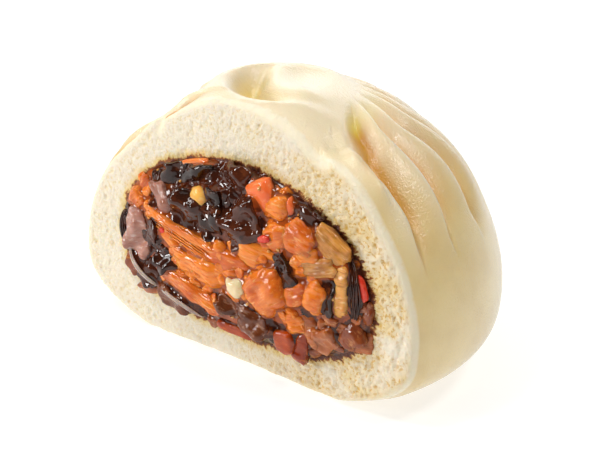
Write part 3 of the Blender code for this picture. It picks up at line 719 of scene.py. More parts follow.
def tongue(azimuth, radius):
    """Shares of the side pleat's tongue, the dent beside it and the sunken shoulder at a place."""
    turn = (azimuth + math.pi) % (2 * math.pi) - math.pi
    root = TONGUE_INNER + TONGUE_SLANT * smoothstep(*TONGUE_SLANT_TURN, np.degrees(turn))
    along = smoothstep(root - TONGUE_ROOT_BEFORE, root + TONGUE_ROOT_AFTER, radius)
    along = along * smoothstep(TONGUE_FOOT, TONGUE_TAPER * TONGUE_FOOT, radius)
    wide = smoothstep(TONGUE_LEFT, TONGUE_LEFT + TONGUE_LEFT_FADE, turn)
    wide = wide * smoothstep(TONGUE_RIGHT, TONGUE_RIGHT - TONGUE_RIGHT_FADE, turn)
    middle = DENT_AZIMUTH + DENT_TURN * (radius - DENT_TOP)
    dent = np.exp(-(((turn - middle) / DENT_WIDTH) ** 2))
    dent = dent * smoothstep(DENT_INNER, DENT_INNER + DENT_INNER_FADE, radius)
    dent = dent * smoothstep(DENT_OUTER, DENT_OUTER - DENT_OUTER_FADE, radius)
    shoulder = np.exp(-(((radius - SHOULDER_MIDDLE) / SHOULDER_WIDTH) ** 2))
    shoulder = shoulder * smoothstep(SHOULDER_LEFT, SHOULDER_LEFT + SHOULDER_LEFT_FADE, turn)
    shoulder = shoulder * smoothstep(SHOULDER_RIGHT, SHOULDER_RIGHT - SHOULDER_RIGHT_FADE, turn)
    return along * wide, dent, shoulder


def pleat_tree(material):
    """Geometry nodes that raise the pleats: each swells to an edge that overlaps the next crease."""
    tree, given = geometry_tree(
        "Pleats", Depth=0.0, Level=0.0, Crest=0.5, Foot=0.0, Run=0.1, Foot_varies=0.0,
        Depth_varies=0.0, Lip=0.0,
    )
    across, number, fold, sink, height, radius = (
        add_node(tree, STORED, [name]) for name in ("across", "number", "fold", "sink", "height", "radius")
    )
    climb = add_node(tree, MATH, [across, given["Crest"]], operation="DIVIDE")
    climb = add_node(tree, MATH, [climb, 1.0], operation="MINIMUM")
    climb = add_node(tree, MATH, [climb, math.pi / 2], operation="MULTIPLY")
    swell = add_node(tree, MATH, [climb], operation="SINE")
    past = add_node(tree, MAP_RANGE, [across, given["Crest"]])
    past = add_node(tree, MATH, [past, math.pi / 2], operation="MULTIPLY")
    drop = add_node(tree, MATH, [past], operation="COSINE")
    drop = add_node(tree, MATH, [drop, 2.0], operation="POWER")
    section = add_node(tree, MATH, [swell, drop], operation="MULTIPLY")
    section = add_node(tree, MATH, [section, given["Level"]], operation="SUBTRACT")
    pleated = add_node(tree, MATH, [section, fold, sink], operation="MULTIPLY_ADD")

    # No two pleats end at the same height or stand out as far.
    foot_wave = add_node(tree, MATH, [number, FOOT_WAVE], operation="MULTIPLY")
    foot_wave = add_node(tree, MATH, [foot_wave], operation="SINE")
    foot = add_node(tree, MATH, [foot_wave, given["Foot varies"], given["Foot"]], operation="MULTIPLY_ADD")
    top = add_node(tree, MATH, [foot, given["Run"]], operation="ADD")
    above_foot = add_node(tree, MAP_RANGE, [height, foot, top], **SMOOTH)
    depth_wave = add_node(tree, MATH, [number, DEPTH_WAVE], operation="MULTIPLY")
    depth_wave = add_node(tree, MATH, [depth_wave], operation="SINE")
    weaker = add_node(tree, MATH, [depth_wave, given["Depth varies"]], operation="MULTIPLY")
    depth = add_node(tree, MATH, [1.0, weaker], operation="SUBTRACT")
    depth = add_node(tree, MATH, [given["Depth"], depth], operation="MULTIPLY")

    # They fade out at the lip, over a shorter way the nearer a pleat is to the first one.
    from_first = add_node(tree, MATH, [number, SIDE_PLEAT], operation="MODULO")
    from_first = add_node(tree, MATH, [from_first, FADE_PLEATS], operation="MINIMUM")
    fade = add_node(tree, MATH, [from_first, FADE_WIDENS, FADE_WIDTH], operation="MULTIPLY_ADD")
    inside = add_node(tree, MATH, [given["Lip"], FADE_START], operation="ADD")
    outside = add_node(tree, MATH, [given["Lip"], fade], operation="ADD")
    off_lip = add_node(tree, MAP_RANGE, [radius, inside, outside], **SMOOTH)
    strength = add_node(tree, MATH, [above_foot, off_lip], operation="MULTIPLY")

    reach = add_node(tree, MATH, [strength, depth], operation="MULTIPLY")
    lift = add_node(tree, MATH, [pleated, reach], operation="MULTIPLY")
    outward = add_node(tree, STORED, ["outward"], data_type="FLOAT_VECTOR")
    offset = add_node(tree, VECTOR_MATH, [outward, lift], operation="SCALE")
    shape = add_node(tree, "GeometryNodeSetPosition", {"Geometry": given["Geometry"], "Offset": offset})
    # Keeps the painted shade of the folds and the painted sheen of their edges, fading with the pleats.
    for name, mark in {"crease": "marked", "crest": "edge"}.items():
        value = add_node(tree, MATH, [strength, add_node(tree, STORED, [mark])], operation="MULTIPLY")
        kept = {"Geometry": shape, "Name": name, "Value": value}
        shape = add_node(tree, "GeometryNodeStoreNamedAttribute", kept)
    return end_tree(tree, shape, material)


def draw_out(dough, mesh):
    """The gathered top drawn to its place, its tucked lobe, and the slight unevenness of shaped dough."""
    points, share, radius = points_of(mesh), stored(mesh, "share"), stored(mesh, "radius")
    upper = (share > SIDE_END)[:, None]
    pull = smoothstep(SHOULDER_RADIUS, dough.lip_radius, radius)[:, None]
    along = np.array((math.cos(LIP_AZIMUTH), math.sin(LIP_AZIMUTH), 0))
    drawn = points + pull * (LIP_MIDDLE + along * LIP_LENGTHEN * (points @ along)[:, None])
    drawn += HOLLOW_PULL * smoothstep(dough.lip_radius, 0, radius)[:, None]
    apart = np.hypot(drawn[:, 0] - LOBE_MIDDLE[0], drawn[:, 1] - LOBE_MIDDLE[1])
    lobe = smoothstep(LOBE_RADIUS, LOBE_TOP * LOBE_RADIUS, apart)
    merged = smoothstep(*LOBE_MERGES, drawn[:, 0])
    drawn[:, 2] += lobe * hollow_depth(dough, radius) * (LOBE_FILL + (1 - LOBE_FILL) * merged)
    drawn[:, 2] -= lobe * merged * lip_rise(dough, radius)
    ridge = np.exp(-(((apart - LOBE_RIDGE * LOBE_TOP * LOBE_RADIUS) / LOBE_RIDGE_WIDTH) ** 2))
    inside = smoothstep(dough.lip_radius, LOBE_RIDGE_INSIDE * dough.lip_radius, radius)
    drawn[:, 2] += LOBE_SWELL * ridge * inside
    # The hollow's wall gets the folds' painted golden shade.
    hollow = upper[:, 0] * (1 - lobe) * smoothstep(*HOLLOW_WALL, radius / dough.lip_radius)
    store(mesh, "crease", np.maximum(stored(mesh, "crease"), HOLLOW_SHADE * hollow))
    points = np.where(upper, drawn, points)
    uneven = UNEVENNESS * noise_at(points, UNEVEN_SIZE) * smoothstep(0, UNEVEN_FROM, points[:, 2])
    flat = points * np.array((1, 1, 0))
    flat /= np.maximum(np.linalg.norm(flat, axis=1), TINY)[:, None]
    set_points(mesh, points + flat * uneven[:, None])


def knife(dough):
    """Everything in front of the cut, on a grid fine enough for the crumb's torn relief."""
    wide, tall = KNIFE_WIDTH * dough.radius, KNIFE_HEIGHT * dough.dome_height
    columns, rows = round(wide / CUT_GRID), round(tall / CUT_GRID)
    mesh = bmesh.new()
    bmesh.ops.create_grid(mesh, x_segments=columns, y_segments=rows, size=0.5)
    for vert in mesh.verts:
        across, up = vert.co.x * wide, (vert.co.y + KNIFE_LOW) * tall
        coarse = noise.noise(Vector((across, 0, up)) / TORN_COARSE)
        fine = noise.noise(Vector((across, 0, up)) / TORN_FINE)
        vert.co = (across, TORN_RELIEF * (coarse + TORN_FINE_SHARE * fine) - dough.cut_offset, up)
    front = bmesh.ops.extrude_face_region(mesh, geom=mesh.faces[:])["geom"]
    moved = [item for item in front if isinstance(item, bmesh.types.BMVert)]
    bmesh.ops.translate(mesh, verts=moved, vec=(0, -dough.radius, 0))
    bmesh.ops.recalc_face_normals(mesh, faces=mesh.faces)
    return new_object("knife", mesh)


def filling_reach(angle):
    """Distance from the heap's middle to its edge at this angle, seen from the front."""
    right, above = np.cos(angle) > 0, np.sin(angle) > 0
    power = np.where(above, np.where(right, SLOPED_RIGHT, 2.0), FLAT_BELOW)
    tall = np.where(above, FILLING_ABOVE, FILLING_BELOW)
    across = np.abs(np.cos(angle)) / FILLING_RADIUS
    up = np.abs(np.sin(angle)) / tall
    return (across**power + up**power) ** (-1 / power)


def outline_distance(points):
    """How far outside the heap's outline in the cut each point lies, in metres."""
    angle = np.arctan2(points[:, 2] - FILLING_HEIGHT, points[:, 0])
    share = math.sqrt(1 - (bpy.context.scene.bun_dough.cut_offset / FILLING_RADIUS) ** 2)
    return np.hypot(points[:, 0], points[:, 2] - FILLING_HEIGHT) - share * filling_reach(angle)


def raggedness(angle):
    """How torn the crumb is round the filling: most at the upper right, least at the left."""
    toward = smoothstep(*RAGGED_SPREAD, np.cos(angle - RAGGED_TOWARD))
    return RAGGED_LEAST + (1 - RAGGED_LEAST) * toward


def heap_ball(name, grow, rings, segments, ragged=0.0):
    """The closed ball of filling, with its poles in front and behind. Its rings' depths are given."""
    ball = new_object(name, unit_ball(name, segments, len(rings) - 1))
    unit = points_of(ball.data)
    row = np.round(np.arccos(np.clip(unit[:, 2], -1, 1)) / math.pi * (len(rings) - 1)).astype(int)
    level = np.sin(np.array(rings))[row]
    depth = -np.cos(np.array(rings))[row] * (FILLING_RADIUS + grow)
    angle = np.arctan2(unit[:, 1], unit[:, 0])
    torn = noise_at(np.stack([np.cos(angle), np.sin(angle), depth / FILLING_RADIUS], 1), RAGGED_SIZE)
    reach = filling_reach(angle) + grow + ragged * raggedness(angle) * torn
    points = np.stack(
        [reach * level * np.cos(angle), depth, FILLING_HEIGHT + reach * level * np.sin(angle)], 1
    )
    set_points(ball.data, points)
    return ball


def crowded_rings(middle, fine, spread, count):
    """Ring angles from the front pole to the back one, set fine on both sides of one angle."""
    close = [middle + (i - spread) * fine for i in range(2 * spread + 1)]
    front = [close[0] * i / count for i in range(count)]
    back = [close[-1] + (math.pi - close[-1]) * (i + 1) / count for i in range(count)]
    return front + close + back


def cut(obj, cutter):
    """Cuts one closed mesh out of another."""
    modifier = obj.modifiers.new("Cut", "BOOLEAN")
    modifier.operation = "DIFFERENCE"
    modifier.solver = "MANIFOLD"
    modifier.object = cutter
    bake_modifiers(obj)
    bpy.data.objects.remove(cutter)


def mark_crumb(dough, obj):
    """Splits the faces into skin and crumb, and says which points are on the skin and on the cut."""
    mesh = obj.data
    centres, normals = np.zeros(len(mesh.polygons) * 3), np.zeros(len(mesh.polygons) * 3)
    mesh.polygons.foreach_get("center", centres)
    mesh.polygons.foreach_get("normal", normals)
    centres, normals = centres.reshape(-1, 3), normals.reshape(-1, 3)
    face = (np.abs(centres[:, 1] + dough.cut_offset) < 2 * TORN_RELIEF) & (normals[:, 1] < -0.5)
    squeezed = (centres[:, 1] / (FILLING_RADIUS + MM)) ** 2
    angle = np.arctan2(centres[:, 2] - FILLING_HEIGHT, centres[:, 0])
    rho = np.hypot(centres[:, 0], centres[:, 2] - FILLING_HEIGHT) / (filling_reach(angle) + POCKET_MARGIN)
    pocket = (rho**2 + squeezed < 1) & ~face
    slots = np.where(face | pocket, CRUMB_SLOT, 0)
    mesh.polygons.foreach_set("material_index", slots.astype(np.int32))
    corners = np.zeros(len(mesh.loops), dtype=np.int32)
    mesh.loops.foreach_get("vertex_index", corners)
    counts = np.zeros(len(mesh.polygons), dtype=np.int32)
    mesh.polygons.foreach_get("loop_total", counts)
    on_skin = np.zeros(len(mesh.vertices), dtype=bool)
    on_face = np.zeros(len(mesh.vertices), dtype=bool)
    on_skin[corners[np.repeat(slots == 0, counts)]] = True
    on_face[corners[np.repeat(face, counts)]] = True
    return on_skin, on_face


def mark_edge(dough, obj):
    """Keeps where the skin's edge at the cut is rounded, each crumb point's distance from the skin and
    each skin point's distance from the cut."""
    mesh = obj.data
    on_skin, on_face = mark_crumb(dough, obj)
    points = points_of(mesh)
    rim = np.nonzero(on_skin & on_face)[0]
    near = KDTree(len(rim))
    for index in rim:
        near.insert(points[index], int(index))
    near.balance()
    distance = np.full(len(points), FAR)
    for index in np.nonzero(on_face)[0]:
        distance[index] = near.find(points[index])[2]
    beyond = np.full(len(points), FAR)
    for index in np.nonzero(on_skin & (points[:, 1] < 2 * EDGE_ROUNDING - dough.cut_offset))[0]:
        beyond[index] = near.find(points[index])[2]
    store(mesh, "round", smoothstep(EDGE_ROUNDING, 0.3 * EDGE_ROUNDING, np.minimum(distance, beyond)))
    store(mesh, "from_skin", distance)
    store(mesh, "from_cut", beyond)
    store(mesh, "crumb", np.where(on_skin & ~on_face, 0.0, 1.0))
    store(mesh, "from_filling", outline_distance(points))
    store(mesh, "grain", radial_grain(points), "FLOAT_VECTOR")
    store(mesh, "open", smoothstep(*OPEN_CRUMB, points[:, 0]))


def radial_grain(points):
    """Coordinates that run round the filling and out from it, in which the torn crumb is drawn out."""
    angle = np.arctan2(points[:, 2] - FILLING_HEIGHT, points[:, 0])
    out = np.hypot(points[:, 0], points[:, 2] - FILLING_HEIGHT)
    outwards = points[:, 1] + GRAIN_DRAWN * out
    return np.stack([GRAIN_ROUND * np.cos(angle), outwards, GRAIN_ROUND * np.sin(angle)], 1)


def crumb_tree(material):
    """Geometry nodes that open the crumb's bubbles and tear its surface, fading out at the skin. The
    crumb's faces, which have a slot of their own, get their material at the end."""
    tree, given = geometry_tree("Crumb", Pore_depth=0.0, Pore_size=1.0, Tear=0.0, Tear_size=1.0, Rounding=1)
    rounded, opened, from_skin, crumb = (
        add_node(tree, STORED, [name]) for name in ("round", "open", "from_skin", "crumb")
    )
    grain = add_node(tree, STORED, ["grain"], data_type="FLOAT_VECTOR")
    place = add_node(tree, "GeometryNodeInputPosition")
    softened = add_node(
        tree, "GeometryNodeBlurAttribute", [place, given["Rounding"], rounded], data_type="FLOAT_VECTOR"
    )
    shape = add_node(
        tree, "GeometryNodeSetPosition", {"Geometry": given["Geometry"], "Position": softened}
    )
    warp = add_node(tree, NOISE, {"Vector": grain, "Scale": WARP_FREQUENCY, "Detail": 2.0}, "Color")
    warped = add_node(tree, VECTOR_MATH, [warp, (WARP,) * 3, grain], operation="MULTIPLY_ADD")

    # The bubbles: each cell has its own chance of a large one.
    frequency = add_node(tree, MATH, [1.0, given["Pore size"]], operation="DIVIDE")
    cells = add_node(tree, "ShaderNodeTexVoronoi", {"Vector": warped, "Scale": frequency})
    chance = add_node(tree, "FunctionNodeSeparateColor", [cells.node.outputs["Color"]])
    wide = add_node(tree, MATH, [chance, PORE_VARIES, LEAST_PORE], operation="MULTIPLY_ADD")
    deep = add_node(tree, MATH, [wide, 0.25], operation="MULTIPLY")
    pore = add_node(tree, MAP_RANGE, [cells, wide, deep], **SMOOTH)
    depth = add_node(tree, MATH, [pore, given["Pore depth"]], operation="MULTIPLY")

    # The torn surface, rougher where the crumb is open.
    tear_scale = add_node(tree, MATH, [1.0, given["Tear size"]], operation="DIVIDE")
    torn = add_node(tree, NOISE, {"Vector": warped, "Scale": tear_scale, "Detail": 3.0})
    torn = add_node(tree, MATH, [torn, 0.5], operation="SUBTRACT")
    rougher = add_node(tree, MATH, [opened, 0.9, 0.5], operation="MULTIPLY_ADD")
    torn = add_node(tree, MATH, [torn, rougher], operation="MULTIPLY")
    rise = add_node(tree, MATH, [torn, given["Tear"]], operation="MULTIPLY")

    relief = add_node(tree, MATH, [rise, depth], operation="SUBTRACT")
    inside = add_node(tree, MAP_RANGE, [from_skin, 0.3 * MM, 2.4 * MM], **SMOOTH)
    inside = add_node(tree, MATH, [inside, crumb], operation="MULTIPLY")
    lift = add_node(tree, MATH, [relief, inside], operation="MULTIPLY")
    outward = add_node(tree, "GeometryNodeInputNormal")
    offset = add_node(tree, VECTOR_MATH, [outward, lift], operation="SCALE")
    shape = add_node(tree, "GeometryNodeSetPosition", {"Geometry": shape, "Offset": offset})
    value = add_node(tree, MATH, [pore, inside], operation="MULTIPLY")
    kept = {"Geometry": shape, "Name": "pore", "Value": value}
    shape = add_node(tree, "GeometryNodeStoreNamedAttribute", kept)
    slot = add_node(tree, "GeometryNodeInputMaterialIndex")
    in_crumb = add_node(tree, "FunctionNodeCompare", [slot, CRUMB_SLOT], data_type="INT", operation="EQUAL")
    return end_tree(tree, shape, material, in_crumb)


# ---- The filling's pieces.


def bulge_share(scene):
    """How much of the ball in front of the cut is left standing out of it."""
    return scene.bun_filling.bulge / (FILLING_RADIUS - scene.bun_dough.cut_offset)


def filling_front(scene, across, up):
    """Depth of the heap's front, or of the crumb beyond its edge, at a place in the cut."""
    offset = scene.bun_dough.cut_offset
    reach = filling_reach(np.arctan2(up - FILLING_HEIGHT, across))
    level = np.hypot(across, up - FILLING_HEIGHT) / reach
    depth = FILLING_RADIUS * np.sqrt(np.maximum(1 - level * level, 0))
    return -offset - np.maximum(depth - offset, 0) * bulge_share(scene)


def placed(scene, right, up, proud):
    """Where a piece's middle lies in the cut, and the depth of its front, from where it is seen."""
    seen = np.array((right, up)) * MM
    middle, front = seen, 0.0
    for _ in range(SETTLING):
        front = float(filling_front(scene, middle[0], middle[1])) - proud * MM
        out = -scene.bun_dough.cut_offset - front
        middle = seen + np.array((SIGHT_RIGHT, SIGHT_UP)) * out
    return middle, front


def piece_reach(angle, corners):
    """Outline of a piece of unit size: a circle, or a polygon with rounded corners."""
    if not corners:
        return np.ones_like(angle)
    sector = 2 * math.pi / corners
    inner = math.cos(sector / 2) / np.cos((angle % sector) - sector / 2)
    return 0.35 + 0.65 * inner / math.cos(sector / 2) ** 0.5


def piece(scene, kind, row, seed):
    """(points, local points in mm, faces) of one piece of the filling."""
    right, up, length, width, turn, corners, proud = row
    style = KINDS[kind]
    rng = random.Random(seed)
    phases = [rng.uniform(0, 2 * math.pi) for _ in range(4)]
    mesh = bmesh.new()
    short, long = min(length, width), max(length, width)
    fine = style.fine if short > SMALL_PIECE else style.fine - 1
    bmesh.ops.create_icosphere(mesh, subdivisions=fine, radius=1)
    unit = np.array([vert.co for vert in mesh.verts])
    faces = [[vert.index for vert in face.verts] for face in mesh.faces]
    mesh.free()
    angle, level = np.arctan2(unit[:, 1], unit[:, 0]), np.minimum(np.hypot(unit[:, 0], unit[:, 1]), 1)
    thickness = min(style.thick * short, style.most)
    reach = piece_reach(angle + math.pi / 4, corners)
    reach = reach * (1 + style.rough * sum(np.sin((n + 2) * angle + p) for n, p in enumerate(phases)) / 2)
    level = level ** (0.75 if style.square < SQUARE_PIECE else 0.62)  # closer points at the edge
    crown = np.maximum(1 - level**style.square, 0) ** (1 / style.square)
    a = np.cos(angle) * reach * level * length * CROWDING / 2
    b = np.sin(angle) * reach * level * width * CROWDING / 2
    c = np.sign(unit[:, 2]) * crown * thickness / 2
    local = np.stack([a, b, c], 1)
    shift = 10.0 * seed
    bend = style.bend * noise_at(local * np.array((1, 1, 0)), style.bend_size, shift)
    lump = style.lump * noise_at(local, style.lump_size, shift + 3)
    grain = style.grain * noise_at(local * np.array((GRAIN_ALONG, 1, 1)), style.grain_size, shift + 7)
    if kind in RIDGED:
        grain = style.grain * (0.5 - 2 * np.abs(noise_at(local, style.grain_size * 1.6, shift + 7)))
    normal = unit / np.array((max(length, 1), max(width, 1), thickness))
    normal /= np.linalg.norm(normal, axis=1)[:, None]
    local = local + normal * (lump + grain)[:, None]
    local[:, 2] += bend * min(1.0, short / LOOSE_PIECE)
    lean = Matrix.Rotation(rng.uniform(-LEAN, LEAN), 3, "X")
    lean = lean @ Matrix.Rotation(rng.uniform(-LEAN, LEAN), 3, "Y")
    if short * LONG_PIECE < long:
        lean = Matrix.Rotation(rng.uniform(-LEAN, LEAN), 3, "X" if length > width else "Y")
    turned = np.array(Matrix.Rotation(math.radians(turn), 3, "Z") @ lean)
    world = local @ turned.T * MM
    middle, front = placed(scene, right, up, proud)
    points = np.stack(
        [middle[0] + world[:, 0], front + thickness * MM / 2 - world[:, 2], middle[1] + world[:, 1]], 1
    )
    return points, local, faces


def pieces_object(scene, name, kind, rows, material, first_seed):
    """One object that holds every piece of one kind, with its own coordinates kept for the grain."""
    placed_points, grain, faces, tints = [], [], [], []
    for number, row in enumerate(rows):
        points, local, sides = piece(scene, kind, row, first_seed + number)
        faces.extend([len(tints) + index for index in side][::-1] for side in sides)
        placed_points.extend(points)
        grain.extend(local * MM + np.array((0, 0, 40 * MM * number)))
        tints.extend([random.Random(first_seed + number).random()] * len(points))
    mesh = bpy.data.meshes.new(name)
    mesh.from_pydata([tuple(point) for point in placed_points], [], faces)
    store(mesh, "grain", np.array(grain), "FLOAT_VECTOR")
    store(mesh, "tint", np.array(tints))
    return finish_piece(new_object(name, mesh, material))


def shred_paths(scene, name, rows):
    """An object whose edges run along each bundle of fibres, with its width kept at every point."""
    points, edges, widths = [], [], []
    for start, middle, end, width, proud in rows:
        for step in range(PATH_STEPS + 1):
            t = step / PATH_STEPS
            blend = ((1 - t) ** 2, 2 * t * (1 - t), t * t)
            knee = [2 * m - (s + e) / 2 for s, m, e in zip(start, middle, end)]
            seen = [blend[0] * s + blend[1] * k + blend[2] * e for s, k, e in zip(start, knee, end)]
            arch = proud * math.sin(math.pi * t) ** PATH_ARCH - PATH_ENDS
            place, front = placed(scene, seen[0], seen[1], arch)
            points.append((place[0], front, place[1]))
            widths.append(width * MM)
            if step:
                edges.append((len(points) - 2, len(points) - 1))
    mesh = bpy.data.meshes.new(name)
    mesh.from_pydata(points, edges, [])
    store(mesh, "bundle", np.array(widths))
    return new_object(name, mesh)


def fibre_tree(material):
    """Geometry nodes that lay many thin fibres side by side along each path."""
    tree, given = geometry_tree("Fibres", Fibres=2, Radius=0.1, Waviness=0.0, Seed=0)
    paths = add_node(tree, "GeometryNodeMeshToCurve", [given["Geometry"]])
    copies = {"Geometry": paths, "Amount": given["Fibres"]}
    many = add_node(tree, "GeometryNodeDuplicateElements", copies, domain="SPLINE")
    kept = {"Geometry": many, "Name": "fibre", "Value": many.node.outputs["Duplicate Index"]}
    many = add_node(tree, "GeometryNodeStoreNamedAttribute", kept, domain="CURVE")
    fibre = add_node(tree, STORED, ["fibre"])

    # Each fibre has its place across the bundle, which is wide in the middle and gathered at its ends.
    last = add_node(tree, MATH, [given["Fibres"], 1.0], operation="SUBTRACT")
    side = add_node(tree, MATH, [fibre, last], operation="DIVIDE")
    side = add_node(tree, MATH, [side, 0.5], operation="SUBTRACT")
    along = add_node(tree, "GeometryNodeSplineParameter")
    along = add_node(tree, MATH, [along, math.pi], operation="MULTIPLY")
    belly = add_node(tree, MATH, [along], operation="SINE")
    spread = add_node(tree, MATH, [belly, 0.45], operation="POWER")
    width = add_node(tree, MATH, [side, spread], operation="MULTIPLY")
    width = add_node(tree, MATH, [width, add_node(tree, STORED, ["bundle"])], operation="MULTIPLY")
    tangent = add_node(tree, "GeometryNodeInputTangent")
    beside = add_node(tree, VECTOR_MATH, [tangent, (0.0, -1.0, 0.0)], operation="CROSS_PRODUCT")
    sideways = add_node(tree, VECTOR_MATH, [beside, width], operation="SCALE")

    # And its own waves.
    place = add_node(tree, "GeometryNodeInputPosition")
    seeded = add_node(tree, MATH, [fibre, 7.3, given["Seed"]], operation="MULTIPLY_ADD")
    wave = {"Vector": place, "W": seeded, "Scale": FIBRE_WAVES, "Detail": 1.0}
    wave = add_node(tree, NOISE, wave, "Color", noise_dimensions="4D")
    wave = add_node(tree, VECTOR_MATH, [wave, (0.5, 0.5, 0.5)], operation="SUBTRACT")
    wave = add_node(tree, VECTOR_MATH, [wave, given["Waviness"]], operation="SCALE")
    offset = add_node(tree, VECTOR_MATH, [sideways, wave], operation="ADD")
    laid = add_node(tree, "GeometryNodeSetPosition", {"Geometry": many, "Offset": offset})

    section = add_node(
        tree, "GeometryNodeCurvePrimitiveCircle", {"Resolution": FIBRE_SIDES, "Radius": given["Radius"]}
    )
    taper = add_node(tree, MATH, [spread, 0.9, 0.1], operation="MULTIPLY_ADD")
    return end_tree(tree, add_node(tree, "GeometryNodeCurveToMesh", [laid, section, taper, True]), material)


def shreds(scene, name, rows, material, fibres, waviness, seed):
    """Bundles of fibres, such as shredded pork, along their paths."""
    obj = shred_paths(scene, name, rows)
    run_tree(
        obj,
        fibre_tree(material),
        Fibres=fibres,
        Radius=scene.bun_filling.fibre_radius,
        Waviness=waviness,
        Seed=seed,
    )
    mesh = obj.data
    store(mesh, "grain", points_of(mesh), "FLOAT_VECTOR")
    store(mesh, "tint", 0.5 + 0.5 * noise_at(points_of(mesh), 2 * MM))
    return finish_piece(obj)


# ---- The sauce.


Grid = namedtuple("Grid", "low step heights")


def grid_places(grid):
    """Each cell's place in the cut."""
    rows, columns = grid.heights.shape
    across = grid.low[0] + grid.step * np.arange(columns)
    up = grid.low[1] + grid.step * np.arange(rows)
    return np.meshgrid(across, up)


def front_of_pieces(names, low, high, step):
    """How far out the pieces reach on a grid over the cut, looking straight at it. Nothing is -1."""
    across = np.arange(low[0], high[0], step)
    up = np.arange(low[1], high[1], step)
    reached = np.full((len(up), len(across)), -1.0)
    graph = bpy.context.evaluated_depsgraph_get()
    for name in names:
        tree = BVHTree.FromObject(bpy.data.objects[name], graph)
        for j, z in enumerate(up):
            for i, x in enumerate(across):
                hit = tree.ray_cast((x, VIEWPOINT, z), (0, 1, 0))[0]
                if hit is not None:
                    reached[j, i] = max(reached[j, i], -hit.y)
    return Grid(low, step, reached)


def sampled(grid, points):
    """A grid's height at each point's place in the cut, blended between its cells."""
    rows, columns = grid.heights.shape
    i = np.clip((points[:, 0] - grid.low[0]) / grid.step, 0, columns - 2)
    j = np.clip((points[:, 2] - grid.low[1]) / grid.step, 0, rows - 2)
    i0, j0 = i.astype(int), j.astype(int)
    fi, fj = i - i0, j - j0
    lower = grid.heights[j0, i0] * (1 - fi) + grid.heights[j0, i0 + 1] * fi
    upper = grid.heights[j0 + 1, i0] * (1 - fi) + grid.heights[j0 + 1, i0 + 1] * fi
    return lower * (1 - fj) + upper * fj


def rolled_over(heights, radius, step):
    """Fills the hollows of a height grid as far as a ball of this radius can't reach into them."""
    cells = math.ceil(radius / step)
    offsets = [
        (dy, dx, math.sqrt(max(radius**2 - (dy * dy + dx * dx) * step * step, 0)) - radius)
        for dy in range(-cells, cells + 1)
        for dx in range(-cells, cells + 1)
        if (dy * dy + dx * dx) * step * step <= radius**2
    ]
    wider = np.max([np.roll(heights, (dy, dx), (0, 1)) + drop for dy, dx, drop in offsets], axis=0)
    return np.min([np.roll(wider, (dy, dx), (0, 1)) - drop for dy, dx, drop in offsets], axis=0)


def blurred(heights, times):
    """A grid smoothed a few times over its neighbours."""
    for _ in range(times):
        around = sum(np.roll(heights, shift, (0, 1)) for shift in ((1, 0), (-1, 0), (0, 1), (0, -1)))
        heights = 0.5 * heights + 0.125 * around
    return heights


def heap_core(scene):
    """The heap's core, fine in front, where it is pressed flat and stands a little out of the cut."""
    rim = math.acos(scene.bun_dough.cut_offset / FILLING_RADIUS)
    front_rings = [rim * i / CORE_RINGS for i in range(CORE_RINGS + 1)]
    back_rings = [rim + (math.pi - rim) * (i + 1) / CORE_BACK_RINGS for i in range(CORE_BACK_RINGS)]
    ball = heap_ball("sauce", 0, front_rings + back_rings, CORE_COLUMNS)
    points = points_of(ball.data)
    front = points[:, 1] < -scene.bun_dough.cut_offset + FRONT_MARGIN
    points[front, 1] = filling_front(scene, points[front, 0], points[front, 2])
    set_points(ball.data, points)
    return ball


def edge_share(scene, points):
    """1 well inside the heap's outline in the cut and 0 at it."""
    reach = filling_reach(np.arctan2(points[:, 2] - FILLING_HEIGHT, points[:, 0]))
    level = np.hypot(points[:, 0], points[:, 2] - FILLING_HEIGHT) / reach
    rim = math.sqrt(1 - (scene.bun_dough.cut_offset / FILLING_RADIUS) ** 2)
    return smoothstep(rim, rim - CORE_EDGE, level)


def pour_sauce(scene, names, ball, material):
    """Raises the core's front to the sauce between the pieces, and keeps how deep every point lies."""
    filling, dough = scene.bun_filling, scene.bun_dough
    reached = front_of_pieces(names, np.array(SAUCE_LOW) * MM, np.array(SAUCE_HIGH) * MM, SAUCE_STEP)
    core = -filling_front(scene, *grid_places(reached))
    heights = np.maximum(reached.heights, core)
    film = blurred(rolled_over(heights, filling.film_radius, SAUCE_STEP), SAUCE_BLURS) - filling.film_drop
    film = reached._replace(heights=np.maximum(film, core + SAUCE_LEAST))
    points = points_of(ball.data)
    edge = edge_share(scene, points)
    flat = -points[:, 1]
    ripple = SAUCE_RIPPLE * noise_at(points, SAUCE_RIPPLE_SIZE)
    height = flat + (sampled(film, points) - flat) * edge + ripple * edge
    front = points[:, 1] < -dough.cut_offset + FRONT_MARGIN
    points[front, 1] = -height[front]
    set_points(ball.data, points)
    ball.data.materials.append(material)
    store(ball.data, "grain", points, "FLOAT_VECTOR")
    by_pork = nearest_group(scene, points) == PORK_GROUP
    store(ball.data, "tint", by_pork * (AMBER + AMBER_VARIES * noise_at(points, AMBER_SIZE)))
    # How far each point lies under the level at which a ball would rest, for the painted shade between the
    # pieces.
    level = blurred(rolled_over(heights, LEVEL_RADIUS, SAUCE_STEP), SAUCE_BLURS)
    level = reached._replace(heights=level)
    for name in (*names, ball.name):
        mesh = bpy.data.objects[name].data
        points = points_of(mesh)
        store(mesh, "sunk", sampled(level, points) + points[:, 1])
    return finish_piece(ball, "filling")


# ---- Scattered bits.


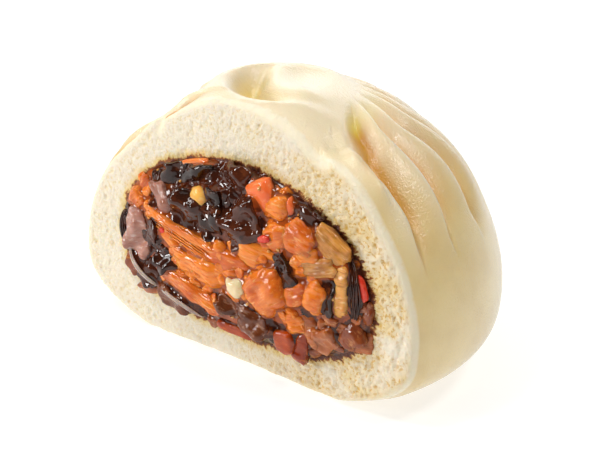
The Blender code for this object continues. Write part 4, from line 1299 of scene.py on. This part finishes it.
def scatter_tree(name, material, fineness):
    """Geometry nodes that scatter small lumps over a surface, sunk a little into it."""
    tree, given = geometry_tree(
        name, Spacing=0.1, Density=1.0, Smallest=0.1, Largest=0.2, Flatness=1.0, Unevenness=0.0,
        Bump_size=1.0, Seed=0,
    )
    spots = add_node(
        tree,
        "GeometryNodeDistributePointsOnFaces",
        {
            "Mesh": given["Geometry"],
            "Distance Min": given["Spacing"],
            "Density Max": given["Density"],
            "Density Factor": add_node(tree, STORED, ["scatter"]),
            "Seed": given["Seed"],
        },
        distribute_method="POISSON",
    )
    sizes = {"Min": given["Smallest"], "Max": given["Largest"], "Seed": given["Seed"]}
    chance = add_node(tree, "FunctionNodeRandomValue", sizes, data_type="FLOAT")
    shape = add_node(tree, "ShaderNodeCombineXYZ", [1.0, 0.8, given["Flatness"]])
    size = add_node(tree, VECTOR_MATH, [shape, chance], operation="SCALE")
    turns = {"Min": (0.0, 0.0, 0.0), "Max": (SCRAP_TILT, SCRAP_TILT, 2 * math.pi), "Seed": given["Seed"]}
    spin = add_node(tree, "FunctionNodeRandomValue", turns, data_type="FLOAT_VECTOR")
    facing = spots.node.outputs["Rotation"]
    turned = add_node(tree, "FunctionNodeRotateRotation", [facing, spin], rotation_space="LOCAL")
    lump = add_node(tree, "GeometryNodeMeshIcoSphere", [0.5, fineness])
    lumps = add_node(
        tree,
        "GeometryNodeInstanceOnPoints",
        {"Points": spots, "Instance": lump, "Rotation": turned, "Scale": size},
    )
    lumps = add_node(tree, "GeometryNodeRealizeInstances", [lumps])
    bump_scale = add_node(tree, MATH, [1.0, given["Bump size"]], operation="DIVIDE")
    bumps = add_node(tree, NOISE, {"Scale": bump_scale, "Detail": 2.0}, "Color")
    bumps = add_node(tree, VECTOR_MATH, [bumps, (0.5, 0.5, 0.5)], operation="SUBTRACT")
    bumps = add_node(tree, VECTOR_MATH, [bumps, given["Unevenness"]], operation="SCALE")
    lumps = add_node(tree, "GeometryNodeSetPosition", {"Geometry": lumps, "Offset": bumps})
    return end_tree(tree, lumps, material)


def joined_copy(names):
    """One mesh object that holds copies of several, to scatter things over."""
    merged = bmesh.new()
    for name in names:
        merged.from_mesh(bpy.data.objects[name].data)
    return new_object("scatter_base", merged)


def scattered(name, base, weights, material, fineness, **values):
    """One piece of small lumps scattered over a base, which is kept for the next."""
    obj = new_object(name, base.data.copy())
    store(obj.data, "scatter", weights)
    run_tree(obj, scatter_tree(name, material, fineness), **values)
    mesh = obj.data
    store(mesh, "grain", points_of(mesh), "FLOAT_VECTOR")
    store(mesh, "tint", 0.5 + 0.5 * noise_at(points_of(mesh), 1 * MM))
    store(mesh, "sunk", np.zeros(len(mesh.vertices)))
    return finish_piece(obj)


# ---- Materials.


def new_material(name):
    """An empty material, and its node tree."""
    material = bpy.data.materials.new(name)
    material.use_nodes = True
    material.node_tree.nodes.clear()
    return material, material.node_tree


def layered(tree, colour, layers):
    """A colour with others laid over it in turn. Each layer is its share of the surface and its colour."""
    for share, over in layers:
        colour = add_node(tree, "ShaderNodeMix", [share, colour, over], data_type="RGBA")
    return colour


def shaded(tree, **inputs):
    """Ends a material: a Principled shader with these inputs."""
    inputs = {name.replace("_", " "): value for name, value in inputs.items()}
    surface = add_node(tree, "ShaderNodeBsdfPrincipled", inputs)
    add_node(tree, "ShaderNodeOutputMaterial", [surface])


def skin_material(dough):
    """Steamed wheat skin, set by the steam to a tight film. It is satin and a little damp, and light glows
    through it. Its colour has painted shade, golden deep in the folds and the hollow, and painted sheen,
    paler on the crests and the top."""
    material, tree = new_material("steamed wheat skin")
    place = add_node(tree, "ShaderNodeTexCoord", output="Object")
    crease, crest, from_cut = (
        add_node(tree, "ShaderNodeAttribute", output="Fac", attribute_name=name)
        for name in ("crease", "crest", "from_cut")
    )
    cloud = add_node(tree, NOISE, {"Vector": place, "Scale": 1 / (9 * MM), "Detail": 3.0})
    clouded = add_node(tree, MAP_RANGE, [cloud, 0.3, 0.75], **SMOOTH)
    height = add_node(tree, "ShaderNodeSeparateXYZ", [place], "Z")
    # Painted sheen: the top is painted paler, as where light falls on it.
    top_sheen = add_node(tree, MAP_RANGE, [height, 40 * MM, 58 * MM, 0.0, 0.5], **SMOOTH)
    # Painted sheen, paler on the pleats' crests.
    crest_sheen_share = add_node(tree, MATH, [crest, 0.6], operation="MULTIPLY")
    paler = add_node(tree, MATH, [crest_sheen_share, top_sheen], operation="MAXIMUM")
    flat = add_node(tree, "ShaderNodeMapping", {"Vector": place, "Scale": (1, 1, 0)})
    radius = add_node(tree, VECTOR_MATH, [flat], "Value", operation="LENGTH")
    # Painted shade: in the hollow, the folds' golden shade is painted yellower.
    in_hollow = add_node(tree, MAP_RANGE, [radius, 20 * MM, 16 * MM], **SMOOTH)
    folded = layered(tree, dough.crease_shade_colour, [(in_hollow, "#E8CC38")])
    severed = add_node(tree, MAP_RANGE, [from_cut, 1.2 * MM, 0.1 * MM], **SMOOTH)
    layers = [(clouded, "#E7CB8D"), (paler, "#F6EAD4"), (crease, folded), (severed, "#F5E8CA")]
    fine = add_node(tree, NOISE, {"Vector": place, "Scale": 1 / (0.45 * MM), "Roughness": 0.6})
    dimpled = add_node(tree, "ShaderNodeBump", {"Height": fine, "Distance": 0.14 * MM})
    shaded(
        tree,
        Base_Color=layered(tree, dough.skin_colour, layers),
        Roughness=add_node(tree, MAP_RANGE, [cloud, 0.0, 1.0, 0.36, 0.48]),
        Normal=dimpled,
        Subsurface_Weight=0.35,
        Subsurface_Radius=(1.0, 0.72, 0.4),
        Subsurface_Scale=1.6 * MM,
        Sheen_Weight=0.15,
        Sheen_Roughness=0.4,
        Coat_Weight=add_node(tree, MATH, [severed, -0.4, 0.9], operation="MULTIPLY_ADD"),
        Coat_Roughness=0.2,
        Coat_IOR=1.5,
        Coat_Normal=dimpled,
    )
    return material


def crumb_material(dough):
    """Steamed wheat crumb, torn open by the knife. It is matt and full of bubbles, painted darker and
    yellower inside: partly the crumb's own tone, partly painted shade. At the filling it took up oil, then
    sauce, in a dark, spiky fringe."""
    material, tree = new_material("steamed wheat crumb")
    place = add_node(tree, "ShaderNodeTexCoord", output="Object")
    drawn = add_node(tree, "ShaderNodeAttribute", output="Vector", attribute_name="grain")
    opened, dug, from_skin, from_filling = (
        add_node(tree, "ShaderNodeAttribute", output="Fac", attribute_name=name)
        for name in ("open", "pore", "from_skin", "from_filling")
    )
    cloud = add_node(tree, NOISE, {"Vector": place, "Scale": 1 / (7 * MM)})
    wander = {"Vector": place, "Scale": 1 / (1.6 * MM), "Detail": 3.0, "Roughness": 0.65}
    wander = add_node(tree, NOISE, wander)

    # The rim under the skin is close and pale, and the bubbles start inside it.
    from_skin = add_node(tree, MATH, [wander, -2.0 * MM, from_skin], operation="MULTIPLY_ADD")
    inside = add_node(tree, MAP_RANGE, [from_skin, -1.2 * MM, 1.4 * MM], **SMOOTH)
    edge = add_node(tree, MAP_RANGE, [from_skin, -1.2 * MM, 0.6 * MM], **SMOOTH)
    rim = add_node(tree, MATH, [1.0, edge], operation="SUBTRACT")
    # The bubbles are painted darker and yellower inside: partly the crumb's own tone, partly painted shade.
    fine = add_node(tree, NOISE, {"Vector": drawn, "Scale": 1 / (0.55 * MM), "Roughness": 0.6})
    holes = add_node(tree, MAP_RANGE, [fine, 0.5, 0.66, 0.0, 0.8], **SMOOTH)
    bubbles = add_node(tree, MATH, [holes, dug], operation="MAXIMUM")
    patchy = add_node(tree, MAP_RANGE, [cloud, 0.2, 0.6], **SMOOTH)
    more = add_node(tree, MATH, [opened, 0.45, 0.65], operation="MULTIPLY_ADD")
    for share in (patchy, more, inside):
        bubbles = add_node(tree, MATH, [bubbles, share], operation="MULTIPLY")
    bubble_shade_colour = layered(tree, "#DFC274", [(opened, dough.pore_shade_colour)])
    golden = add_node(tree, MAP_RANGE, [cloud, 0.25, 0.7], **SMOOTH)
    golden = add_node(tree, MATH, [opened, golden], operation="MULTIPLY")

    # How far oil and sauce reached, in spikes where the crumb is open and less far where it is close.
    radial = add_node(tree, "ShaderNodeMapping", {"Vector": drawn, "Scale": (1, 0.3, 1)})
    spikes = {"Vector": radial, "Scale": 1 / (0.75 * MM), "Detail": 3.0, "Roughness": 0.7}
    spikes = add_node(tree, MATH, [add_node(tree, NOISE, spikes), 0.4], operation="SUBTRACT")
    spiky = add_node(tree, MATH, [opened, -4.4 * MM], operation="MULTIPLY")
    reach = add_node(tree, MATH, [wander, -3.6 * MM, from_filling], operation="MULTIPLY_ADD")
    reach = add_node(tree, MATH, [spikes, spiky, reach], operation="MULTIPLY_ADD")
    oily = add_node(tree, MAP_RANGE, [reach, 0.9 * MM, -1.4 * MM, 0.0, 0.75], **SMOOTH)
    close = add_node(tree, MATH, [1.0, opened], operation="SUBTRACT")
    reach = add_node(tree, MATH, [close, 0.6 * MM, reach], operation="MULTIPLY_ADD")
    browned = add_node(tree, MAP_RANGE, [reach, -0.5 * MM, -1.1 * MM], **SMOOTH)
    soaked = add_node(tree, MAP_RANGE, [reach, -0.8 * MM, -1.5 * MM], **SMOOTH)

    layers = [
        (golden, "#E9D09C"),
        (bubbles, bubble_shade_colour),
        (rim, "#F5E8CA"),
        (oily, dough.oily_colour),
        (browned, "#A85E1C"),
        (soaked, dough.soaked_colour),
    ]
    height = add_node(tree, MATH, [1.0, fine], operation="SUBTRACT")
    height = add_node(tree, MATH, [height, edge], operation="MULTIPLY")
    shaded(
        tree,
        Base_Color=layered(tree, dough.crumb_colour, layers),
        Roughness=add_node(tree, MAP_RANGE, [soaked, 0.0, 1.0, 0.85, 0.35]),
        Normal=add_node(tree, "ShaderNodeBump", {"Height": height, "Distance": 0.3 * MM}),
        Coat_Weight=add_node(tree, MATH, [rim, 0.5], operation="MULTIPLY"),
        Coat_Roughness=0.4,
        Subsurface_Weight=0.3,
        Subsurface_Radius=(1.0, 0.72, 0.4),
        Subsurface_Scale=1.6 * MM,
    )
    return material


def glazed(name, colours, grain, stretch, rough, through, relief=0.75, tinted=0.35):
    """A wet, braised food under a film of sauce, which runs over its grain and glints. Where the piece lies
    low between others it is painted darker brown: painted shade, with the sauce pooled there.

    Its colours run from dark to pale. Its grain is in mm, and is drawn out to 1 / stretch of that along
    the piece. Rough is the food under the sauce, through is how much light passes into it, relief is the
    film's depth in mm, and tinted is how much one piece differs from the next.
    """
    dark, light, pale = colours
    material, tree = new_material(name)
    local = add_node(tree, "ShaderNodeAttribute", output="Vector", attribute_name="grain")
    tint, sunk = (
        add_node(tree, "ShaderNodeAttribute", output="Fac", attribute_name=name)
        for name in ("tint", "sunk")
    )
    drawn = add_node(tree, "ShaderNodeMapping", {"Vector": local, "Scale": (stretch, 1, 1)})
    streaks = {"Vector": drawn, "Scale": 1 / (grain * MM), "Detail": 3.0, "Roughness": 0.6}
    streaks = add_node(tree, NOISE, streaks)
    cloud = add_node(tree, NOISE, {"Vector": local, "Scale": 1 / (3.2 * MM), "Detail": 3.0})
    mixed = add_node(tree, MATH, [cloud, 0.8], operation="MULTIPLY")
    mixed = add_node(tree, MATH, [tint, tinted, mixed], operation="MULTIPLY_ADD")
    lighter = add_node(tree, MAP_RANGE, [mixed, 0.3, 0.85], **SMOOTH)
    darker = add_node(tree, MAP_RANGE, [streaks, 0.44, 0.34, 0.0, 0.6], **SMOOTH)
    paler = add_node(tree, MAP_RANGE, [streaks, 0.54, 0.74, 0.0, 0.6], **SMOOTH)
    # Painted shade: darker brown where the piece lies low between others, with the sauce pooled there.
    uneven = add_node(tree, MATH, [cloud, -1.2 * MM, sunk], operation="MULTIPLY_ADD")
    crevice_shade = add_node(tree, MAP_RANGE, [uneven, -0.35 * MM, 1.1 * MM, 0.0, 0.93], **SMOOTH)
    loose = add_node(tree, "ShaderNodeMapping", {"Vector": local, "Scale": (0.6, 1, 1)})
    film = {"Vector": loose, "Scale": 1 / FILM_SIZE, "Detail": 1.0, "Roughness": 0.35}
    height = add_node(tree, MATH, [streaks, 0.1, add_node(tree, NOISE, film)], operation="MULTIPLY_ADD")
    wet = add_node(tree, "ShaderNodeBump", {"Height": height, "Distance": relief * MM})
    layers = [(lighter, light), (darker, dark), (paler, pale), (crevice_shade, "#4A1A08")]
    shaded(
        tree,
        Base_Color=layered(tree, dark, layers),
        Roughness=rough,
        Normal=wet,
        Specular_IOR_Level=0.0,
        Subsurface_Weight=through,
        Subsurface_Radius=(1.0, 0.4, 0.15),
        Subsurface_Scale=1.2 * MM,
        Coat_Weight=1.0,
        Coat_Roughness=0.05,
        Coat_IOR=1.47,
        Coat_Normal=wet,
    )
    return material


def pork_material(look):
    """Soy glazed pork: long fibres that took up the soy unevenly, amber to brown."""
    colours = (look.pork_colour, "#F08428", look.fat_colour)
    return glazed(
        "soy glazed pork", colours, grain=0.55, stretch=0.16, rough=0.3, through=0.35, tinted=0.55
    )


def ear_material(look):
    """Braised wood ear: a nearly black, rubbery sheet, brown where it is thin, with sharp glints."""
    colours = (look.ear_colour, "#4E210D", look.ear_thin_colour)
    return glazed(
        "braised wood ear fungus", colours, grain=1.6, stretch=0.5, rough=0.2, through=0.0, relief=0.8
    )


def ear_underside_material():
    """The downy underside of thin wood ear: brown, mottled and paler than its top."""
    colours = ("#4A1E08", "#783E1E", "#BC8E70")
    return glazed(
        "thin wood ear underside", colours, grain=1.3, stretch=0.5, rough=0.25, through=0.35, relief=1.1
    )


def pale_underside_material():
    """The underside where it is palest: lavender grey, with light showing through."""
    colours = ("#96604C", "#B98676", "#E2D0C8")
    return glazed(
        "pale wood ear underside", colours, grain=1.3, stretch=0.4, rough=0.2, through=0.4, relief=0.9
    )


def membrane_material():
    """A thin pale membrane: greyish strings that gleam along their edge."""
    colours = ("#B09080", "#CCB4A6", "#E6DAD2")
    return glazed("pale membrane", colours, grain=1.0, stretch=0.4, rough=0.2, through=0.4, relief=0.5)


def carrot_material(look):
    """Braised carrot: soft, bright orange, with light glowing in it."""
    colours = (look.carrot_colour, "#F88A45", "#F9B078")
    return glazed("braised carrot", colours, grain=0.8, stretch=0.3, rough=0.3, through=0.35, relief=0.35)


def bamboo_material(look):
    """Braised bamboo shoot: straw coloured, with fine pale fibres all along it."""
    colours = (look.bamboo_colour, "#DE9A48", "#F6CE94")
    return glazed(
        "braised bamboo shoot", colours, grain=0.5, stretch=0.08, rough=0.2, through=0.45, relief=0.9
    )


def corn_material():
    """A sweet corn kernel: a smooth, tight, yellow skin that glows."""
    colours = ("#F4A845", "#FBC260", "#FDDC94")
    return glazed(
        "sweet corn kernel", colours, grain=1.2, stretch=0.6, rough=0.28, through=0.4, relief=0.15
    )


def garlic_material():
    """Braised garlic: waxy and ivory, the palest piece of all."""
    colours = ("#E6C78C", "#EFDCB0", "#F6EBD0")
    return glazed("braised garlic", colours, grain=0.7, stretch=0.6, rough=0.35, through=0.35, relief=0.25)


def chilli_material(look):
    """Red chilli: a smooth and glossy red skin."""
    colours = (look.chilli_colour, "#E03A24", "#EE6A48")
    return glazed("red chilli", colours, grain=0.8, stretch=0.4, rough=0.22, through=0.2, relief=0.2)


def mushroom_material():
    """Braised mushroom: chestnut brown, with paler gills and torn edges."""
    colours = ("#7E3A1C", "#B4622E", "#D89458")
    return glazed("braised mushroom", colours, grain=1.0, stretch=0.4, rough=0.25, through=0.3, relief=1.0)


def cube_material():
    """Diced carrot that braised longest: a deep red brown, streaked with orange."""
    colours = ("#8A2C06", "#B84808", "#D87422")
    return glazed(
        "braised carrot cube", colours, grain=0.9, stretch=0.4, rough=0.28, through=0.3, relief=0.8
    )


def ginger_material():
    """Minced ginger: small tan crumbs, drier than the rest."""
    colours = ("#D08A45", "#E3A55C", "#F0C88A")
    return glazed("minced ginger", colours, grain=0.6, stretch=1.0, rough=0.3, through=0.3, relief=0.1)


def sauce_material(look):
    """Reduced braising sauce: nearly black, with painted shade where it lies deep, and amber where it is
    thin over the pork.
    """
    colours = (look.sauce_colour, "#A84C16", "#CC6C22")
    return glazed(
        "brown braising sauce",
        colours,
        grain=2.0,
        stretch=0.8,
        rough=0.14,
        through=0.1,
        relief=0.5,
        tinted=0.9,
    )


def table_material(stage):
    """White light table: matt acrylic that glows from inside, so that almost no shadow lies on it."""
    material, tree = new_material("white light table")
    shaded(
        tree,
        Base_Color="#ABABA9",
        Roughness=0.9,
        Emission_Color="#FFFFFF",
        Emission_Strength=stage.table_glow,
    )
    return material


# ---- Operators.


class MakeDough(bpy.types.Operator):
    """Makes the pleated dough, cut open on its pocket"""

    bl_idname = "bun.dough"
    bl_label = "Dough"

    def execute(self, context):
        """Pleats a ball of dough, draws out its top, and cuts away its front and the pocket."""
        dough = context.scene.bun_dough
        ball = dough_ball(dough)
        skin, crumb = skin_material(dough), crumb_material(dough)
        run_tree(
            ball,
            pleat_tree(skin),
            Depth=dough.pleat_depth,
            Level=PLEAT_LEVEL,
            Crest=PLEAT_CREST,
            Foot=PLEAT_FOOT,
            Run=PLEAT_RUN,
            Foot_varies=FOOT_VARIES,
            Depth_varies=DEPTH_VARIES,
            Lip=dough.lip_radius,
        )
        draw_out(dough, ball.data)
        cut(ball, knife(dough))
        rim = math.acos(dough.cut_offset / FILLING_RADIUS)
        rings = crowded_rings(rim, fine=0.012, spread=8, count=8)
        cut(ball, heap_ball("pocket", -POCKET_OVERLAP, rings, POCKET_COLUMNS, POCKET_RAGGED))
        ball.data.materials.clear()
        for material in (skin, crumb):
            ball.data.materials.append(material)
        mark_edge(dough, ball)
        run_tree(
            ball,
            crumb_tree(crumb),
            Pore_depth=dough.pore_depth,
            Pore_size=dough.pore_size,
            Tear=TEAR,
            Tear_size=TEAR_SIZE,
            Rounding=ROUNDING_STEPS,
        )
        finish_piece(ball, "bun_dough")
        return {"FINISHED"}


class MakePork(bpy.types.Operator):
    """Makes the glazed pork: dice, slabs and a bundle of shredded fibres"""

    bl_idname = "bun.pork"
    bl_label = "Pork"

    def execute(self, context):
        """Makes the three kinds of pork pieces, all of one material."""
        meat = pork_material(context.scene.bun_filling)
        pieces_object(context.scene, "pork_dice", "meat", PORK, meat, 0)
        pieces_object(context.scene, "pork_strips", "strand", PORK_STRIPS, meat, 50)
        shreds(context.scene, "pork_shreds", PORK_SHREDS, meat, fibres=5, waviness=0.8 * MM, seed=3)
        return {"FINISHED"}


class MakeWoodEar(bpy.types.Operator):
    """Makes the wood ear: thin, dark, ruffled sheets, and shreds of it"""

    bl_idname = "bun.wood_ear"
    bl_label = "Wood ear"

    def execute(self, context):
        """Makes the sheets and the shreds, of one material."""
        ear = ear_material(context.scene.bun_filling)
        pieces_object(context.scene, "wood_ear", "ear", WOOD_EAR, ear, 100)
        shreds(context.scene, "wood_ear_shreds", DARK_SHREDS, ear, fibres=8, waviness=1.0 * MM, seed=5)
        return {"FINISHED"}


class MakeVegetables(bpy.types.Operator):
    """Makes the carrot, bamboo shoot, corn, garlic, chilli and mushroom"""

    bl_idname = "bun.vegetables"
    bl_label = "Vegetables"

    def execute(self, context):
        """Makes one object for each vegetable, with a seed of its own."""
        look = context.scene.bun_filling
        for name, kind, rows, material, seed in (
            ("carrot", "carrot", CARROT, carrot_material(look), 200),
            ("bamboo_shoot", "slice", BAMBOO, bamboo_material(look), 300),
            ("corn_kernel", "kernel", KERNEL, corn_material(), 400),
            ("garlic", "garlic", GARLIC, garlic_material(), 500),
            ("chilli", "chilli", CHILLI, chilli_material(look), 600),
            ("mushroom", "mushroom", MUSHROOM, mushroom_material(), 700),
        ):
            pieces_object(context.scene, name, kind, rows, material, seed)
        return {"FINISHED"}


class MakeFlaps(bpy.types.Operator):
    """Makes the flaps that show the wood ear's underside, and a pale membrane"""

    bl_idname = "bun.flaps"
    bl_label = "Flaps"

    def execute(self, context):
        """Makes the brown flaps, the two pale ones and the membrane's strings."""
        scene = context.scene
        pieces_object(scene, "ear_flaps", "ear", FLAPS, ear_underside_material(), 752)
        pieces_object(scene, "pale_flaps", "ear", PALE_FLAPS, pale_underside_material(), 750)
        shreds(scene, "pale_edge", PALE_EDGE, membrane_material(), fibres=4, waviness=0.5 * MM, seed=9)
        return {"FINISHED"}


class MakeCubes(bpy.types.Operator):
    """Makes the red brown cubes at the bottom of the filling"""

    bl_idname = "bun.cubes"
    bl_label = "Braised cubes"

    def execute(self, context):
        """Makes the cubes."""
        pieces_object(context.scene, "braised_cubes", "cube", CUBE, cube_material(), 800)
        return {"FINISHED"}


Scraps = namedtuple("Scraps", "near like flatness")
# The small scraps between the pieces: which pieces each kind lies near, what it is made of and how flat.
SCRAP_GROUPS = {
    "ear_scraps": Scraps(WOOD_EAR + FLAPS + PALE_FLAPS, "wood_ear", 0.3),
    "pork_scraps": Scraps(PORK + PORK_STRIPS + CARROT + GARLIC + BAMBOO, "pork_dice", 0.42),
    "mushroom_scraps": Scraps(MUSHROOM + CUBE, "mushroom", 0.36),
}
PORK_GROUP = 1  # the number of the one near the pork


def nearest_group(scene, points):
    """The number of the group whose nearest piece each point is closest to, for the piece's size."""
    groups = []
    for scraps in SCRAP_GROUPS.values():
        spans = []
        for right, up, length, width, turn, _, proud in scraps.near:
            middle, _ = placed(scene, right, up, proud)
            along = (math.cos(math.radians(turn)), math.sin(math.radians(turn)))
            away = points[:, (0, 2)] - middle
            a = (away @ along) / (length * MM)
            b = (away @ (-along[1], along[0])) / (width * MM)
            spans.append(np.hypot(a, b))
        groups.append(np.min(spans, axis=0))
    return np.argmin(groups, axis=0)


FILLING_NAMES = [
    "pork_dice", "pork_strips", "pork_shreds", "wood_ear", "wood_ear_shreds", "carrot", "bamboo_shoot",
    "corn_kernel", "garlic", "chilli", "mushroom", "ear_flaps", "pale_flaps", "pale_edge",
    "braised_cubes", *SCRAP_GROUPS,
]


class MakeSauce(bpy.types.Operator):
    """Makes the heap's core with the small scraps on it, and the sauce between its pieces"""

    bl_idname = "bun.sauce"
    bl_label = "Sauce"

    def execute(self, context):
        """Scatters each kind of scrap over its part of the core, then pours the sauce over the core."""
        scene = context.scene
        core = heap_core(scene)
        points = points_of(core.data)
        inside = (points[:, 1] < -scene.bun_dough.cut_offset) * edge_share(scene, points)
        nearest = nearest_group(scene, points)
        for number, (name, scraps) in enumerate(SCRAP_GROUPS.items()):
            scattered(
                name,
                core,
                inside * (nearest == number),
                bpy.data.objects[scraps.like].data.materials[0],
                fineness=4,
                Spacing=2.6 * MM,
                Density=3e5,
                Smallest=2.4 * MM,
                Largest=4.6 * MM,
                Flatness=scraps.flatness,
                Unevenness=2.0 * MM,
                Bump_size=2.8 * MM,
                Seed=number,
            )
        pour_sauce(scene, FILLING_NAMES, core, sauce_material(scene.bun_filling))
        return {"FINISHED"}


class MakeBits(bpy.types.Operator):
    """Scatters minced ginger over the filling"""

    bl_idname = "bun.bits"
    bl_label = "Minced bits"

    def execute(self, context):
        """Scatters the bits in patches over the front of everything in the heap."""
        base = joined_copy([*FILLING_NAMES, "sauce"])
        points = points_of(base.data)
        in_front = points[:, 1] < -context.scene.bun_dough.cut_offset - 0.3 * MM
        scattered(
            "minced_bits",
            base,
            in_front * smoothstep(0.1, 0.5, noise_at(points, 4 * MM, 5.0)),
            ginger_material(),
            fineness=2,
            Spacing=1.6 * MM,
            Density=6e4,
            Smallest=0.5 * MM,
            Largest=1.3 * MM,
            Flatness=0.7,
            Unevenness=0.5 * MM,
            Bump_size=0.7 * MM,
            Seed=9,
        )
        bpy.data.objects.remove(base)
        return {"FINISHED"}


class MakeStage(bpy.types.Operator):
    """Makes the pale floor, the studio's light and the camera"""

    bl_idname = "bun.stage"
    bl_label = "Stage"

    def execute(self, context):
        """Lays the light table, lights the tent, and puts up the camera and the lamps round the bun."""
        scene = context.scene
        stage = scene.bun_stage
        floor = bmesh.new()
        bmesh.ops.create_grid(floor, x_segments=1, y_segments=1, size=FLOOR_SIZE)
        new_object("floor", floor, table_material(stage))

        world = bpy.data.worlds.new("white tent")
        world.use_nodes = True
        background = world.node_tree.nodes["Background"].inputs
        background["Color"].default_value = (1, 1, 1, 1)
        background["Strength"].default_value = stage.surround
        scene.world = world
        scene.view_settings.view_transform = "Standard"

        level, height = math.cos(stage.elevation), math.sin(stage.elevation)
        back = Vector((math.sin(stage.azimuth) * level, -math.cos(stage.azimuth) * level, height))
        right = Vector((math.cos(stage.azimuth), math.sin(stage.azimuth), 0))
        up = back.cross(right)
        middle = Vector((0, 0, scene.bun_dough.dome_height / 2))
        camera = photo_camera(stage, middle, right, up, back)
        scene.collection.objects.link(camera)
        scene.camera = camera
        for name, (across, high, near), size, share in LIGHTS:
            toward = right * across + up * high + back * near
            softbox(name, middle, toward, size, stage.light_power * share)
        return {"FINISHED"}


# The studio's lights: where each stands (right, up and towards the camera), its width and height in
# metres, and its share of the power. The wide backdrop gives the wet top its sheen, and the small ones
# glint in the sauce.
LIGHTS = [
    ("side_light", (-0.85, 0.45, 0.15), (0.06, 0.3), 0.5),
    ("front_light", (-0.45, 0.75, 0.55), (0.13, 0.13), 1.0),
    ("low_light", (-0.93, 0.12, 0.35), (0.13, 0.13), 1.1),
    ("right_light", (0.5, 0.75, 0.5), (0.13, 0.13), 1.1),
    ("top_light", (-0.1, 0.95, 0.4), (0.3, 0.3), 0.42),
    ("backdrop_light", (0.0, 0.75, -0.72), (0.9, 0.4), 1.7),
]
LIGHT_DISTANCE = 0.6
FLOOR_SIZE = 3.0
SENSOR_WIDTH = 36.0  # mm, of a full frame camera
CAMERA_RIGHT = 2.61 * MM  # the camera stands a little right of the bun's middle and below it
CAMERA_DOWN = 2.37 * MM


def photo_camera(stage, middle, right, up, back):
    """The camera, rolled about its line of sight, at its distance from the bun's middle."""
    turned_right = right * math.cos(stage.roll) + up * math.sin(stage.roll)
    turned_up = -right * math.sin(stage.roll) + up * math.cos(stage.roll)
    camera = bpy.data.objects.new("camera", bpy.data.cameras.new("camera"))
    camera.data.lens = stage.lens
    camera.data.sensor_width = SENSOR_WIDTH
    camera.data.clip_start = 10 * MM
    place = middle + back * stage.distance + turned_right * CAMERA_RIGHT - turned_up * CAMERA_DOWN
    turn = Matrix((turned_right, turned_up, back)).transposed().to_4x4()
    camera.matrix_world = Matrix.Translation(place) @ turn
    return camera


def softbox(name, target, direction, size, power):
    """A flat area light of this width and height that faces the target from this direction."""
    light = bpy.data.lights.new(name, "AREA")
    light.energy = power
    light.shape = "RECTANGLE"
    light.size, light.size_y = size
    obj = bpy.data.objects.new(name, light)
    heading = direction.normalized()
    turn = heading.to_track_quat("Z", "Y").to_matrix().to_4x4()
    obj.matrix_world = Matrix.Translation(target + heading * LIGHT_DISTANCE) @ turn
    bpy.context.scene.collection.objects.link(obj)


class BunPanel(bpy.types.Panel):
    """Sizes, colours and one button for each group of pieces"""

    bl_idname = "VIEW3D_PT_pork_bun"
    bl_label = "Steamed Pork Bun"
    bl_space_type = "VIEW_3D"
    bl_region_type = "UI"
    bl_category = "Pork Bun"

    def draw(self, context):
        """Lists every setting, then a button for each operator."""
        for settings in (context.scene.bun_dough, context.scene.bun_filling, context.scene.bun_stage):
            box = self.layout.box()
            for name in settings.bl_rna.properties.keys():
                if name not in ("rna_type", "name"):
                    box.prop(settings, name)
        for operator in OPERATORS:
            self.layout.operator(operator.bl_idname)


SETTINGS = {"bun_dough": DoughSettings, "bun_filling": FillingSettings, "bun_stage": StageSettings}
OPERATORS = (
    MakeDough, MakePork, MakeWoodEar, MakeVegetables, MakeFlaps, MakeCubes, MakeSauce, MakeBits,
    MakeStage,
)


def register():
    """Registers the classes and gives each scene their settings."""
    for cls in (*SETTINGS.values(), *OPERATORS, BunPanel):
        bpy.utils.register_class(cls)
    for name, cls in SETTINGS.items():
        setattr(bpy.types.Scene, name, PointerProperty(type=cls))


def unregister():
    """Takes the settings and the classes away again."""
    for name in SETTINGS:
        delattr(bpy.types.Scene, name)
    for cls in (BunPanel, *reversed(OPERATORS), *SETTINGS.values()):
        bpy.utils.unregister_class(cls)


def main():
    """Makes the whole bun and its stage, in order."""
    register()
    bpy.ops.bun.dough()
    bpy.ops.bun.pork()
    bpy.ops.bun.wood_ear()
    bpy.ops.bun.vegetables()
    bpy.ops.bun.flaps()
    bpy.ops.bun.cubes()
    bpy.ops.bun.sauce()
    bpy.ops.bun.bits()
    bpy.ops.bun.stage()


if __name__ == "__main__":
    main()
